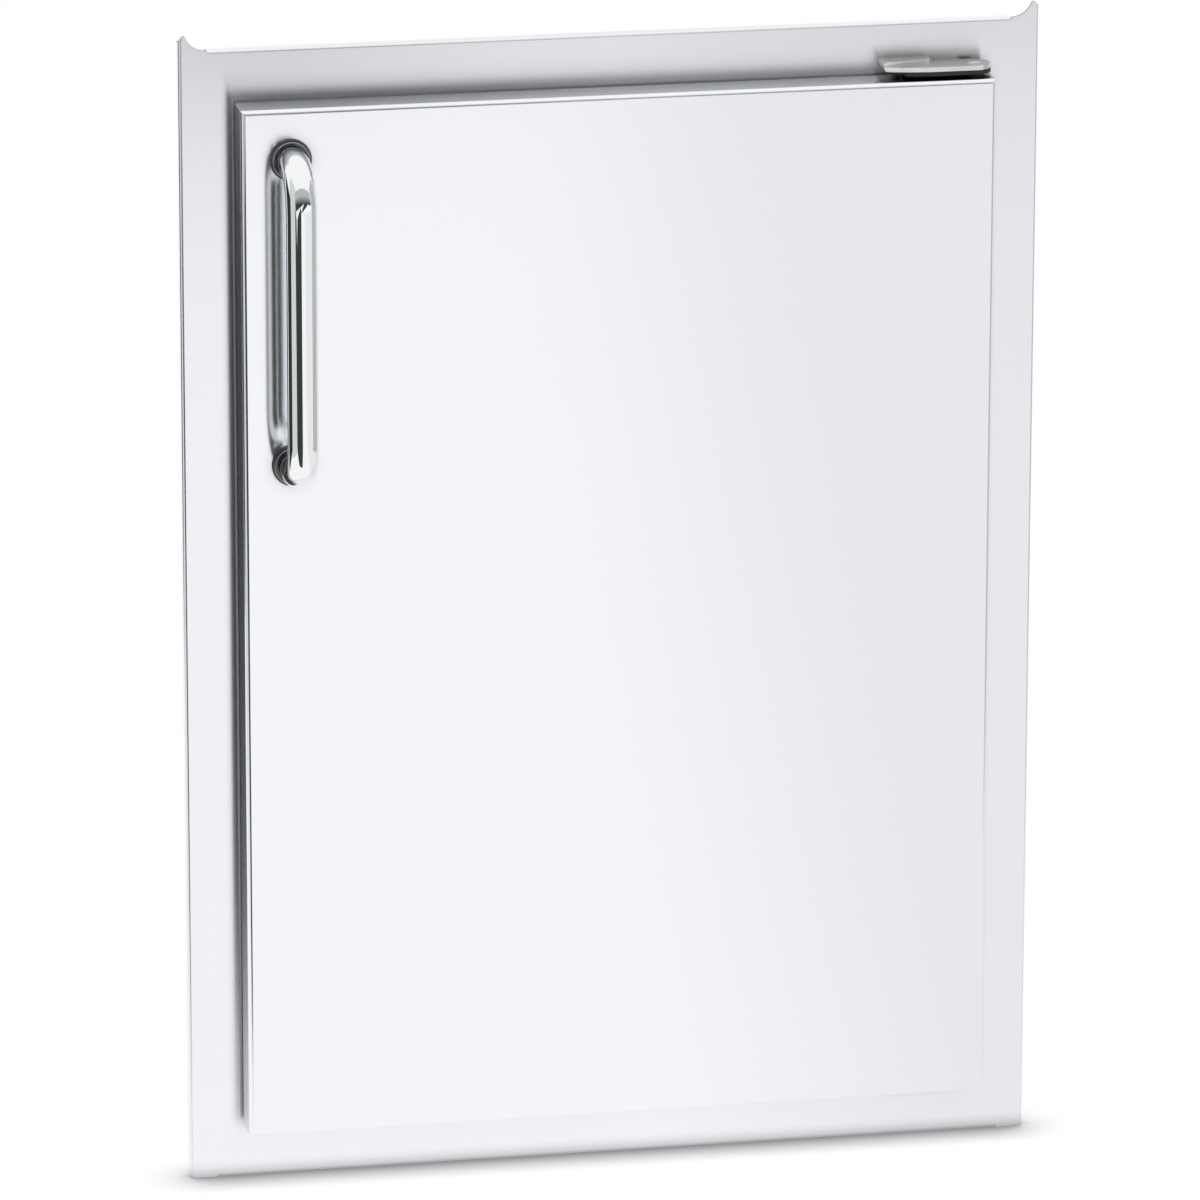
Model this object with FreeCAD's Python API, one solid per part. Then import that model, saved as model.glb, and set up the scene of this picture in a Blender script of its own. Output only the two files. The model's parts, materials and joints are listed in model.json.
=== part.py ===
import FreeCAD, Part
import os
from math import asin, cos, pi, sin, sqrt

# Single access door for a masonry or framed island: a stainless face frame with
# a sleeve behind it, and a double-walled door that swings on two pivot pins.
# Millimetres. +X is to the right, -Y is the front, +Z is up.
# The origin is the centre of the wall cut-out, in the plane of the wall's face.

V = FreeCAD.Vector

# Face frame
flange_side_border = 38.1     # sleeve to the flange's left and right edges
flange_end_border = 38.2      # sleeve to the flange's top and bottom edges
flange_drop = 2.0             # flange centre under the opening's centre
frame_sheet = 1.5
flange_stand = 7.0            # wall face to the front of the flange
ear_rise = 9.0                # height of the corner ears over the top edge
ear_hollow_radius = 13.2      # hollow curve from the top edge up to an ear
ear_tip_radius = 4.0
frame_bend_radius = 2.0
bottom_corner_radius = 3.0

# Sleeve behind the flange
sleeve_width = 431.8
sleeve_height = 609.6
sleeve_depth = 50.0           # behind the wall face
jamb_sheet = 1.2
jamb_lip = 10.0
jamb_bend_radius = 2.0
opening_return = 14.0         # flange front to the end of the return
opening_corner_radius = 4.0
fixing_hole_radius = 2.6
fixing_hole_depth = 25.0      # behind the wall face
fixing_from_end = 154.8

# Door
door_overlap = 6.35           # door past the sleeve, all round
door_thickness = 25.4
door_gap = 3.0                # back of the door to the front of the flange
door_sheet = 1.2
door_bend_radius = 3.0
door_corner_radius = 0.8
door_lip = 15.0
lip_mitre_gap = 0.5
liner_inset = 2.0
liner_corner_radius = 2.0
liner_border = 42.0
liner_recess = 6.0
liner_recess_corner = 24.0

# Stiffening channel inside the door
channel_crown = 40.0
channel_foot = 14.0
channel_sheet = 1.0
channel_end_gap = 41.15       # end of the door to the end of the channel

# Pivot hinges
pin_from_edge = 9.5           # pin axis to the door's right edge
pin_from_front = 15.5         # pin axis to the door's front
pin_radius = 3.175
pin_running_clearance = 0.05
pin_seat_clearance = 0.02
pin_head_radius = 4.3
pin_head_height = 0.9
pin_reach = 8.0               # into the door
hinge_running_gap = 0.25      # pad to the head of the bushing
bracket_thickness = 3.0
bracket_end_radius = 9.0
bracket_arm = 54.75           # pin axis to the left end of the bracket
bracket_bow = 22.75           # pin axis to where the front edge turns back
bracket_root_reach = 15.9     # flange to the front edge at the left end
leaf_length = 29.0
leaf_thickness = 2.4
leaf_front_setback = 0.6
leaf_taper = 4.0
fold_radius = 2.2
tab_length = 28.0
tab_proud = 1.5               # behind the flange
tab_clearance = 0.03
pad_thickness = 2.4
pad_arm = 43.0                # pin axis to the left end of the pad
pad_margin = 0.4              # beyond the bracket's front edge
pad_corner_radius = 2.0
lower_running_gap = 0.1       # washer to the head of the lower bushing
lower_washer_radius = 5.0
lower_washer_thickness = 0.5
lower_bracket_thickness = 2.0
lower_end_radius = 5.0
lower_arm = 42.0
lower_bow = 8.0
lower_root_reach = 8.0
bushing_head_radius = 5.7
bushing_head_height = 1.5
bushing_head_round = 0.3
bushing_barrel_radius = 4.5
bushing_seat_clearance = 0.02
bushing_beyond_doubler = 1.0
doubler_thickness = 3.0
doubler_length = 36.0
doubler_leg = 30.0
doubler_front_setback = 2.4
doubler_back_setback = 1.0

# Handle
handle_tube_radius = 9.0
handle_tube_wall = 1.5
handle_centres = 182.0
handle_standoff = 38.0        # door front to the centreline of the grip
handle_bend_radius = 24.0
handle_from_edge = 28.75
handle_from_top = 29.5
bezel_radius = 12.25
bezel_flange = 1.7
bezel_collar_radius = 11.0
bezel_height = 3.2
bezel_bore_clearance = 0.05
bezel_edge_radius = 0.7
plug_length = 9.0
plug_fit = 0.02
handle_screw_radius = 3.0
handle_screw_engagement = 7.0
handle_screw_hole_clearance = 0.3
handle_screw_head_radius = 5.4
handle_screw_head_height = 3.6
handle_screw_head_round = 0.6
handle_screw_end_room = 1.5   # tapped bore past the end of the screw
handle_hex_across = 4.0
handle_hex_depth = 2.0
handle_washer_radius = 7.0
handle_washer_thickness = 1.6
backing_plate_width = 40.0
backing_plate_margin = 20.0
backing_plate_thickness = 3.0
access_hole_radius = 7.5      # holes in the inner panel to reach the screws
access_plug_fit = 0.05
access_plug_rim = 1.6
access_plug_cap = 1.2
access_plug_wall = 1.2
access_plug_depth = 4.0

# Magnetic catches on the latch side
catch_from_end = 89.8         # middle of each catch to the end of the sleeve
catch_body_width = 13.0
catch_body_depth = 30.0
catch_body_length = 46.0
catch_body_radius = 1.5
catch_ear_thickness = 4.0
catch_ear_length = 10.0
catch_ear_depth = 10.0
catch_air_gap = 0.3
catch_pole_proud = 1.0
catch_pole_thickness = 1.6
catch_pole_length = 34.0
catch_pole_depth = 14.0
catch_magnet_thickness = 5.0
catch_magnet_depth = 11.0
catch_magnet_setback = 1.5
catch_screw_radius = 1.75
catch_screw_head_radius = 3.4
catch_screw_head_height = 1.8
catch_screw_point = 1.5       # past the sleeve's wall
screw_hole_clearance = 0.02
strike_width = 13.0
strike_length = 68.0
strike_thickness = 1.5
strike_corner_radius = 3.0
strike_screw_spacing = 58.0
strike_screw_radius = 1.5
strike_screw_head_radius = 2.6
strike_screw_point = 1.2      # past the door's lip

# Rubber bumpers on the flange
bumper_radius = 2.4
bumper_clearance = 0.3
bumper_crown = 0.9
bumper_from_end = 24.8

# Places worked out from the sizes above
flange_width = sleeve_width + 2 * flange_side_border
flange_height = sleeve_height + 2 * flange_end_border
door_width = sleeve_width + 2 * door_overlap
door_height = sleeve_height + 2 * door_overlap
face_front = -flange_stand
face_back = face_front + frame_sheet
face_top = flange_height / 2 - flange_drop
face_bottom = -flange_height / 2 - flange_drop
ear_run = sqrt(ear_hollow_radius ** 2 - (ear_hollow_radius - ear_rise) ** 2)
ear_start = flange_width / 2 - ear_tip_radius - ear_run
ear_top = face_top + ear_rise

sleeve_right = sleeve_width / 2
sleeve_top = sleeve_height / 2
jamb_inner_x = sleeve_right - jamb_sheet
jamb_inner_z = sleeve_top - jamb_sheet
opening_x = jamb_inner_x - frame_sheet
opening_z = jamb_inner_z - frame_sheet

door_back = face_front - door_gap
door_front = door_back - door_thickness
door_right = door_width / 2
door_top = door_height / 2
door_bottom = -door_height / 2
liner_front = door_back - door_sheet
lip_front = liner_front - door_sheet
skin_inner = door_front + door_sheet
liner_floor_front = liner_front - liner_recess

pin_x = door_right - pin_from_edge
pin_y = door_front + pin_from_front
hinge_gap = bushing_head_height + hinge_running_gap + pad_thickness
bracket_bottom = door_top + hinge_gap
bracket_left = pin_x - bracket_arm
bracket_top = bracket_bottom + bracket_thickness
lower_plate_gap = lower_running_gap + lower_washer_thickness

handle_x = -door_right + handle_from_edge
handle_top = door_top - handle_from_top
handle_bottom = handle_top - handle_centres
handle_ends = (handle_top, handle_bottom)

catch_front = door_back + strike_thickness + catch_air_gap + catch_pole_proud
catch_x = -opening_x + catch_body_width / 2
catch_height = sleeve_top - catch_from_end
catch_places = (catch_height, -catch_height)


def block(x0, x1, y0, y1, z0, z1):
    return Part.makeBox(x1 - x0, y1 - y0, z1 - z0, V(x0, y0, z0))


def rod(radius, start, direction, length):
    return Part.makeCylinder(radius, length, start, direction)


def line(a, b):
    return Part.LineSegment(a, b).toShape()


def arc(a, middle, b):
    return Part.Arc(a, middle, b).toShape()


def slab(edges, direction):
    """A closed outline of edges, extruded along a vector."""
    return Part.Face(Part.Wire(edges)).extrude(direction)


def rounded_rectangle(half_x, half_z, radius, y, middle_z=0.0):
    """A wire in a plane facing the front, with round corners."""
    edges = []
    turn = radius * (1 - sqrt(0.5))
    corners = ((1, 1), (-1, 1), (-1, -1), (1, -1))
    for i, (sx, sz) in enumerate(corners):
        along_x = V(sx * (half_x - radius), y, middle_z + sz * half_z)
        along_z = V(sx * half_x, y, middle_z + sz * (half_z - radius))
        middle = V(sx * (half_x - turn), y, middle_z + sz * (half_z - turn))
        first, last = (along_z, along_x) if i % 2 == 0 else (along_x, along_z)
        edges.append(arc(first, middle, last))
        nx, nz = corners[(i + 1) % 4]
        if i % 2 == 0:
            following = V(nx * (half_x - radius), y, middle_z + nz * half_z)
        else:
            following = V(nx * half_x, y, middle_z + nz * (half_z - radius))
        edges.append(line(last, following))
    return Part.Wire(edges)


def rounded_block(half_x, half_z, radius, y0, y1, middle_z=0.0):
    wire = rounded_rectangle(half_x, half_z, radius, y0, middle_z)
    return Part.Face(wire).extrude(V(0, y1 - y0, 0))


def edges_at(shape, test):
    return [edge for edge in shape.Edges if test(edge)]


def edge_middle(edge):
    return edge.valueAt((edge.FirstParameter + edge.LastParameter) / 2)


def near(a, b):
    return abs(a - b) < 0.001


def mirror_x(shape):
    return shape.mirror(V(0, 0, 0), V(1, 0, 0))


def mirror_on_door(shape):
    """The same piece at the other end of the door."""
    return shape.mirror(V(0, 0, 0), V(0, 0, 1))


# Face frame

def bent_edge_plan():
    """Plan section of the right edge: flat, then bent back to the wall."""
    side = flange_width / 2
    outer = frame_bend_radius
    inner = max(outer - frame_sheet, 0.05)
    z = face_bottom
    turn = outer * (1 - sqrt(0.5))
    inner_turn = frame_sheet + inner * (1 - sqrt(0.5))
    start = V(ear_start, face_front, z)
    bend_start = V(side - outer, face_front, z)
    bend_middle = V(side - turn, face_front + turn, z)
    bend_end = V(side, face_front + outer, z)
    inner_end = V(side - frame_sheet, face_back + inner, z)
    inner_middle = V(side - inner_turn, face_front + inner_turn, z)
    inner_start = V(side - frame_sheet - inner, face_back, z)
    corners = [V(side, 0, z), V(side - frame_sheet, 0, z)]
    return [
        line(start, bend_start),
        arc(bend_start, bend_middle, bend_end),
        line(bend_end, corners[0]),
        line(corners[0], corners[1]),
        line(corners[1], inner_end),
        arc(inner_end, inner_middle, inner_start),
        line(inner_start, V(ear_start, face_back, z)),
        line(V(ear_start, face_back, z), start),
    ]


def edge_outline():
    """Front view of the right edge strip, with its ear at the top."""
    side = flange_width / 2
    tip_turn = ear_tip_radius * (1 - sqrt(0.5))
    low_turn = bottom_corner_radius * (1 - sqrt(0.5))
    tip = V(side - ear_tip_radius, 0, ear_top)
    tip_middle = V(side - tip_turn, 0, ear_top - tip_turn)
    tip_side = V(side, 0, ear_top - ear_tip_radius)
    low_side = V(side, 0, face_bottom + bottom_corner_radius)
    low_middle = V(side - low_turn, 0, face_bottom + low_turn)
    low = V(side - bottom_corner_radius, 0, face_bottom)
    start = V(ear_start, 0, face_top)
    start_low = V(ear_start, 0, face_bottom)
    half = asin(ear_run / ear_hollow_radius) / 2
    if ear_rise > ear_hollow_radius:
        half = (pi - asin(ear_run / ear_hollow_radius)) / 2
    hollow = V(ear_start + ear_hollow_radius * sin(half), 0,
               face_top + ear_hollow_radius * (1 - cos(half)))
    return [
        line(start_low, low),
        arc(low, low_middle, low_side),
        line(low_side, tip_side),
        arc(tip_side, tip_middle, tip),
        arc(tip, hollow, start),
        line(start, start_low),
    ]


def edge_strip():
    """The right edge of the flange: bent back in plan, eared at the top."""
    bent = slab(bent_edge_plan(), V(0, 0, flange_height + ear_rise))
    outline = slab(edge_outline(), V(0, flange_stand * 3, 0))
    outline.translate(V(0, face_front - flange_stand, 0))
    return bent.common(outline)


def centre_panel():
    """Flat middle of the flange with its top and bottom returns and its opening."""
    side = ear_start
    panel = block(-side, side, face_front, face_back, face_bottom, face_top)
    top_return = block(-side, side, face_front, 0, face_top - frame_sheet, face_top)
    low_return = block(-side, side, face_front, 0, face_bottom, face_bottom + frame_sheet)
    throat = rounded_block(jamb_inner_x, jamb_inner_z, opening_corner_radius + frame_sheet,
                           face_front, face_front + opening_return)
    hole = rounded_block(opening_x, opening_z, opening_corner_radius,
                         face_front - 1, face_front + opening_return + 1)
    panel = panel.fuse([top_return, low_return, throat]).cut(hole).removeSplitter()

    def is_bend(edge):
        point = edge_middle(edge)
        box = edge.BoundBox
        if not near(box.YMin, face_front) or not near(box.YMax, face_front):
            return False
        rim = abs(point.x) < opening_x + 0.01 and abs(point.z) < opening_z + 0.01
        return rim or near(point.z, face_top) or near(point.z, face_bottom)

    return panel.makeFillet(frame_bend_radius, edges_at(panel, is_bend))


def face_flange():
    right = edge_strip()
    return centre_panel().fuse([right, mirror_x(right)]).removeSplitter()


# Sleeve

def right_jamb():
    """Side wall of the sleeve, full height, with a stiffening lip turned inwards."""
    web = block(jamb_inner_x, sleeve_right, face_back, sleeve_depth, -sleeve_top, sleeve_top)
    lip = block(sleeve_right - jamb_lip, sleeve_right, sleeve_depth - jamb_sheet, sleeve_depth,
                -sleeve_top, sleeve_top)
    jamb = web.fuse(lip).removeSplitter()

    def is_bend(edge):
        box = edge.BoundBox
        return near(box.XMin, sleeve_right) and near(box.YMin, sleeve_depth)

    jamb = jamb.makeFillet(jamb_bend_radius, edges_at(jamb, is_bend))
    for side in (1, -1):
        centre = V(jamb_inner_x - 1, fixing_hole_depth, side * (sleeve_top - fixing_from_end))
        jamb = jamb.cut(rod(fixing_hole_radius, centre, V(1, 0, 0), jamb_sheet + 2))
    return jamb


def head_jamb():
    """Top wall of the sleeve, fitted between the side walls."""
    lip_x = sleeve_right - jamb_lip
    lip_plane = sleeve_depth - jamb_sheet
    web = block(-lip_x, lip_x, face_back, sleeve_depth, jamb_inner_z, sleeve_top)
    lip = block(-lip_x, lip_x, lip_plane, sleeve_depth, sleeve_top - jamb_lip, sleeve_top)
    jamb = web.fuse(lip).removeSplitter()

    def is_bend(edge):
        box = edge.BoundBox
        return near(box.ZMin, sleeve_top) and near(box.YMin, sleeve_depth)

    jamb = jamb.makeFillet(jamb_bend_radius, edges_at(jamb, is_bend))
    ends = block(-jamb_inner_x, jamb_inner_x, face_back, lip_plane - jamb_bend_radius,
                 jamb_inner_z, sleeve_top)
    return jamb.fuse(ends).removeSplitter()


def bumpers():
    """Rubber bumpers between the flange and the closed door, on the latch side."""
    height = door_gap - bumper_clearance
    lane = (opening_x + frame_bend_radius + door_right - liner_inset) / 2
    pieces = []
    for side in (1, -1):
        start = V(-lane, face_front, side * (sleeve_top - bumper_from_end))
        body = rod(bumper_radius, start, V(0, -1, 0), height)
        rim = edges_at(body, lambda edge: near(edge.BoundBox.YMax, face_front - height))
        pieces.append(body.makeFillet(bumper_crown, rim))
    return Part.makeCompound(pieces)


# Hinges
# Both hinges are drawn at the top of the door and the lower one is mirrored down.

def pivot_plate(z, thickness, end_radius, arm, bow_run, root_reach):
    """Pivot plate in plan: root on the flange, bowed front edge, round end at the pin."""
    front = pin_y - end_radius
    rear = pin_y + end_radius
    left = pin_x - arm
    bow_x = pin_x - bow_run
    root_y = face_front - root_reach
    run = bow_x - left
    rise = root_y - front
    bow_radius = (run ** 2 + rise ** 2) / (2 * rise)
    half = asin(run / bow_radius) / 2
    gap = face_front - rear
    neck_x = pin_x - end_radius / 2
    bow_middle = V(bow_x - bow_radius * sin(half), front + bow_radius * (1 - cos(half)), z)
    neck_middle = V(neck_x - gap * sqrt(0.5), face_front - gap * sqrt(0.5), z)
    corner = V(left, face_front, z)
    root = V(left, root_y, z)
    bow = V(bow_x, front, z)
    end_front = V(pin_x, front, z)
    end_rear = V(pin_x, rear, z)
    neck = V(neck_x, rear, z)
    seat = V(neck_x - gap, face_front, z)
    return slab([
        line(corner, root),
        arc(root, bow_middle, bow),
        line(bow, end_front),
        arc(end_front, V(pin_x + end_radius, pin_y, z), end_rear),
        line(end_rear, neck),
        arc(neck, neck_middle, seat),
        line(seat, corner),
    ], V(0, 0, thickness))


def root_tab(low, thickness, end_radius, arm, clearance):
    """Tab on the root of a pivot plate, through a slot in the flange."""
    neck_gap = face_front - pin_y - end_radius
    middle = pin_x - (arm + end_radius / 2 + neck_gap) / 2
    half = tab_length / 2 + clearance
    return block(middle - half, middle + half, face_front, face_back + tab_proud + clearance,
                 low - clearance, low + thickness + clearance)


def pin_hole(low, length):
    return rod(pin_radius + pin_seat_clearance, V(pin_x, pin_y, low - 1), V(0, 0, 1), length + 2)


def bracket_leaf():
    """Upper leaf, folded over the root of the plate, with a rounded end."""
    left = bracket_left
    right = left + leaf_length
    front = face_front - bracket_root_reach + leaf_front_setback
    turn = leaf_thickness
    z = bracket_top
    corner = V(left, face_front, z)
    start = V(left, front, z)
    before_end = V(right - turn, front + leaf_taper, z)
    round_middle = V(right - turn * (1 - sqrt(0.5)), front + leaf_taper + turn * (1 - sqrt(0.5)), z)
    end = V(right, front + leaf_taper + turn, z)
    seat = V(right, face_front, z)
    return slab([
        line(corner, start),
        line(start, before_end),
        arc(before_end, round_middle, end),
        line(end, seat),
        line(seat, corner),
    ], V(0, 0, leaf_thickness))


def upper_tab(clearance):
    return root_tab(bracket_bottom, bracket_thickness, bracket_end_radius, bracket_arm, clearance)


def lower_tab(clearance):
    low = door_top + lower_plate_gap
    return root_tab(low, lower_bracket_thickness, lower_end_radius, lower_arm, clearance)


def upper_bracket():
    plate = pivot_plate(bracket_bottom, bracket_thickness, bracket_end_radius, bracket_arm,
                        bracket_bow, bracket_root_reach)
    bracket = plate.fuse([bracket_leaf(), upper_tab(0)]).removeSplitter()

    def is_fold(edge):
        box = edge.BoundBox
        outer = near(box.ZMax, bracket_bottom) or near(box.ZMin, bracket_top + leaf_thickness)
        return outer and near(box.XMax, bracket_left) and box.YLength > bracket_root_reach / 2

    bracket = bracket.makeFillet(fold_radius, edges_at(bracket, is_fold))
    return bracket.cut(pin_hole(bracket_bottom, bracket_thickness + leaf_thickness))


def lower_bracket():
    """Thin flat pivot plate, close to the end of the door and out of sight behind it."""
    low = door_top + lower_plate_gap
    plate = pivot_plate(low, lower_bracket_thickness, lower_end_radius, lower_arm,
                        lower_bow, lower_root_reach)
    plate = plate.fuse(lower_tab(0)).removeSplitter()
    return plate.cut(pin_hole(low, lower_bracket_thickness))


def upper_pad():
    """Black wear pad under the bracket, over the head of the bushing."""
    low = bracket_bottom - pad_thickness
    pad = pivot_plate(low, pad_thickness, bracket_end_radius + pad_margin, bracket_arm,
                      bracket_bow, bracket_root_reach + pad_margin)
    keep = block(pin_x - pad_arm, pin_x + bracket_arm, face_front - bracket_arm,
                 pin_y + bracket_end_radius, low, bracket_bottom)
    pad = pad.common(keep)

    def at_left_end(edge):
        box = edge.BoundBox
        return near(box.XMax, pin_x - pad_arm) and near(box.ZLength, pad_thickness)

    pad = pad.makeFillet(pad_corner_radius, edges_at(pad, at_left_end))
    return pad.cut(pin_hole(low, pad_thickness))


def lower_washer():
    """Thin washer on the lower plate: the door turns on it."""
    low = door_top + lower_running_gap
    disc = rod(lower_washer_radius, V(pin_x, pin_y, low), V(0, 0, 1), lower_washer_thickness)
    return disc.cut(pin_hole(low, lower_washer_thickness))


def pin_shank(above_door):
    low = V(pin_x, pin_y, door_top - pin_reach)
    shank = rod(pin_radius, low, V(0, 0, 1), pin_reach + above_door)
    nose = edges_at(shank, lambda edge: near(edge.BoundBox.ZMax, door_top - pin_reach))
    return shank.makeChamfer(pin_radius / 5, nose)


def upper_pin():
    """Pivot pin with a low domed head, seated on the bracket."""
    rim = pin_head_height / 3
    shank = pin_shank(hinge_gap + bracket_thickness)
    centre = V(pin_x, pin_y, bracket_top)
    dome_radius = (pin_head_radius ** 2 + (pin_head_height - rim) ** 2) / (2 * (pin_head_height - rim))
    half = asin(pin_head_radius / dome_radius) / 2
    crown_centre = centre + V(0, 0, pin_head_height - dome_radius)
    profile = [
        line(centre, centre + V(pin_head_radius, 0, 0)),
        line(centre + V(pin_head_radius, 0, 0), centre + V(pin_head_radius, 0, rim)),
        arc(centre + V(pin_head_radius, 0, rim),
            crown_centre + V(dome_radius * sin(half), 0, dome_radius * cos(half)),
            centre + V(0, 0, pin_head_height)),
        line(centre + V(0, 0, pin_head_height), centre),
    ]
    head = Part.Face(Part.Wire(profile)).revolve(centre, V(0, 0, 1), 360)
    return shank.fuse(head).removeSplitter()


def hinge_bushing(seat, head_height):
    """Flanged bushing in the end of the door, its head on a seat: the pin runs in it."""
    low = door_top - door_sheet - doubler_thickness - bushing_beyond_doubler
    head = rod(bushing_head_radius, V(pin_x, pin_y, seat), V(0, 0, 1), head_height)
    barrel = rod(bushing_barrel_radius, V(pin_x, pin_y, low), V(0, 0, 1), seat - low)
    bore = rod(pin_radius + pin_running_clearance, V(pin_x, pin_y, low - 1),
               V(0, 0, 1), seat + head_height - low + 2)
    body = head.fuse(barrel).removeSplitter()
    rims = edges_at(body, lambda edge: near(edge.BoundBox.ZMin, seat + head_height))
    return body.makeFillet(bushing_head_round, rims).cut(bore)


def bushing_hole():
    """Hole for the barrel of a bushing, through the door's sheet and the doubler."""
    length = door_sheet + doubler_thickness + 2
    start = V(pin_x, pin_y, door_top + 1 - length)
    return rod(bushing_barrel_radius + bushing_seat_clearance, start, V(0, 0, 1), length)


def flush_bushing_hole():
    """Hole in the door's sheet for a bushing head that lies flush in it."""
    start = V(pin_x, pin_y, door_top - door_sheet)
    return rod(bushing_head_radius + bushing_seat_clearance, start, V(0, 0, 1), door_sheet + 1)


def hinge_doubler():
    """Angle inside the corner of the door that stiffens it where the bushing sits."""
    inside_x = door_right - door_sheet
    inside_z = door_top - door_sheet
    front = skin_inner + doubler_front_setback
    back = lip_front - doubler_back_setback
    flat = block(inside_x - doubler_length, inside_x, front, back,
                 inside_z - doubler_thickness, inside_z)
    leg = block(inside_x - doubler_thickness, inside_x, front, back,
                inside_z - doubler_leg, inside_z)
    angle = flat.fuse(leg).removeSplitter()
    return angle.cut(bushing_hole())


# Door

def handle_holes(y0, y1):
    radius = handle_screw_radius + handle_screw_hole_clearance
    return [rod(radius, V(handle_x, y0, z), V(0, 1, 0), y1 - y0) for z in handle_ends]


def door_skin():
    """Outer pan: front, four folded sides and inward lips with mitred corners."""
    shell = block(-door_right, door_right, door_front, liner_front, door_bottom, door_top)

    def on_bend(edge):
        box = edge.BoundBox
        return near(box.YMax, door_front) or near(box.YMin, liner_front)

    def along_depth(edge):
        return edge.BoundBox.YLength > door_thickness / 2

    shell = shell.makeFillet(door_corner_radius, edges_at(shell, along_depth))
    shell = shell.makeFillet(door_bend_radius, edges_at(shell, on_bend))
    inside = block(-door_right + door_sheet, door_right - door_sheet, skin_inner, lip_front,
                   door_bottom + door_sheet, door_top - door_sheet)
    inner_bend = door_bend_radius - door_sheet
    if inner_bend > 0:
        front_rim = edges_at(inside, lambda edge: near(edge.BoundBox.YMax, skin_inner))
        back_rim = edges_at(inside, lambda edge: near(edge.BoundBox.YMin, lip_front))
        inside = inside.makeFillet(inner_bend, front_rim + back_rim)
    window = block(-door_right + door_lip, door_right - door_lip, lip_front - 1, liner_front + 1,
                   door_bottom + door_lip, door_top - door_lip)
    skin = shell.cut(inside).cut(window)
    for sx in (1, -1):
        for z, sz in ((door_top, 1), (door_bottom, -1)):
            reach = door_lip * 2
            slot = block(-reach, 0, lip_front, liner_front + 1, -lip_mitre_gap / 2, lip_mitre_gap / 2)
            slot.rotate(V(0, 0, 0), V(0, 1, 0), -45 * sz)
            if sx < 0:
                slot = mirror_x(slot)
            slot.translate(V(sx * (door_right - door_bend_radius), 0, z - sz * door_bend_radius))
            skin = skin.cut(slot)
    skin = skin.cut(bushing_hole()).cut(mirror_on_door(flush_bushing_hole()))
    return skin.cut(handle_holes(door_front - 1, skin_inner + 1))


def door_liner():
    """Inner panel: flat border on the skin's lips and a pressed recess in its middle."""
    half_x = door_right - liner_inset
    half_z = door_height / 2 - liner_inset
    edge_x = half_x - liner_border
    edge_z = half_z - liner_border
    radius = liner_recess_corner
    wall = door_sheet * sqrt(2)
    sheet = rounded_block(half_x, half_z, liner_corner_radius, liner_front, door_back)

    def step(y, grow):
        return rounded_rectangle(edge_x + grow, edge_z + grow, radius + grow, y)

    swell = Part.makeLoft([step(liner_front, wall - door_sheet),
                           step(liner_floor_front, wall - door_sheet - liner_recess)], True, True)
    hollow = Part.makeLoft([step(door_back, 0),
                            step(door_back - liner_recess, -liner_recess)], True, True)
    panel = sheet.fuse(swell).removeSplitter().cut(hollow)
    for z in catch_places:
        for side in (1, -1):
            panel = panel.cut(strike_screw_hole(z + side * strike_screw_spacing / 2))
    for z in handle_ends:
        start = V(handle_x, liner_front - 1, z)
        panel = panel.cut(rod(access_hole_radius, start, V(0, 1, 0), door_sheet + 2))
    return panel


def door_stiffener():
    """Upright hat channel that ties the front sheet to the inner panel."""
    half = channel_crown / 2
    foot = half + channel_foot
    t = channel_sheet
    y0 = skin_inner
    y1 = liner_floor_front
    low = door_bottom + channel_end_gap
    points = [V(-foot, y0, low), V(-half, y0, low), V(-half, y1 - t, low), V(half, y1 - t, low),
              V(half, y0, low), V(foot, y0, low), V(foot, y0 + t, low), V(half + t, y0 + t, low),
              V(half + t, y1, low), V(-half - t, y1, low), V(-half - t, y0 + t, low),
              V(-foot, y0 + t, low)]
    edges = [line(a, b) for a, b in zip(points, points[1:] + points[:1])]
    return slab(edges, V(0, 0, door_height - 2 * channel_end_gap))


# Handle

def handle_sweep(radius):
    """A tube along the handle's D-shaped centreline, solid, of one radius."""
    grip_y = door_front - handle_standoff
    bend = handle_bend_radius
    turn = bend * (1 - sqrt(0.5))
    x = handle_x
    top = handle_top
    low = handle_bottom
    path = Part.Wire([
        line(V(x, door_front, top), V(x, grip_y + bend, top)),
        arc(V(x, grip_y + bend, top), V(x, grip_y + turn, top - turn), V(x, grip_y, top - bend)),
        line(V(x, grip_y, top - bend), V(x, grip_y, low + bend)),
        arc(V(x, grip_y, low + bend), V(x, grip_y + turn, low + turn), V(x, grip_y + bend, low)),
        line(V(x, grip_y + bend, low), V(x, door_front, low)),
    ])
    section = Part.Wire([Part.makeCircle(radius, V(x, door_front, top), V(0, 1, 0))])
    return path.makePipeShell([section], True, True)


def handle_bar():
    return handle_sweep(handle_tube_radius).cut(handle_sweep(handle_tube_radius - handle_tube_wall))


def handle_end_plugs():
    """Threaded plugs welded inside the ends of the tube."""
    radius = handle_tube_radius - handle_tube_wall - plug_fit
    pieces = []
    for z in handle_ends:
        body = rod(radius, V(handle_x, door_front, z), V(0, -1, 0), plug_length)
        bore = rod(handle_screw_radius + screw_hole_clearance, V(handle_x, door_front + 1, z),
                   V(0, -1, 0), handle_screw_engagement + 1 + handle_screw_end_room)
        pieces.append(body.cut(bore))
    return Part.makeCompound(pieces)


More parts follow.
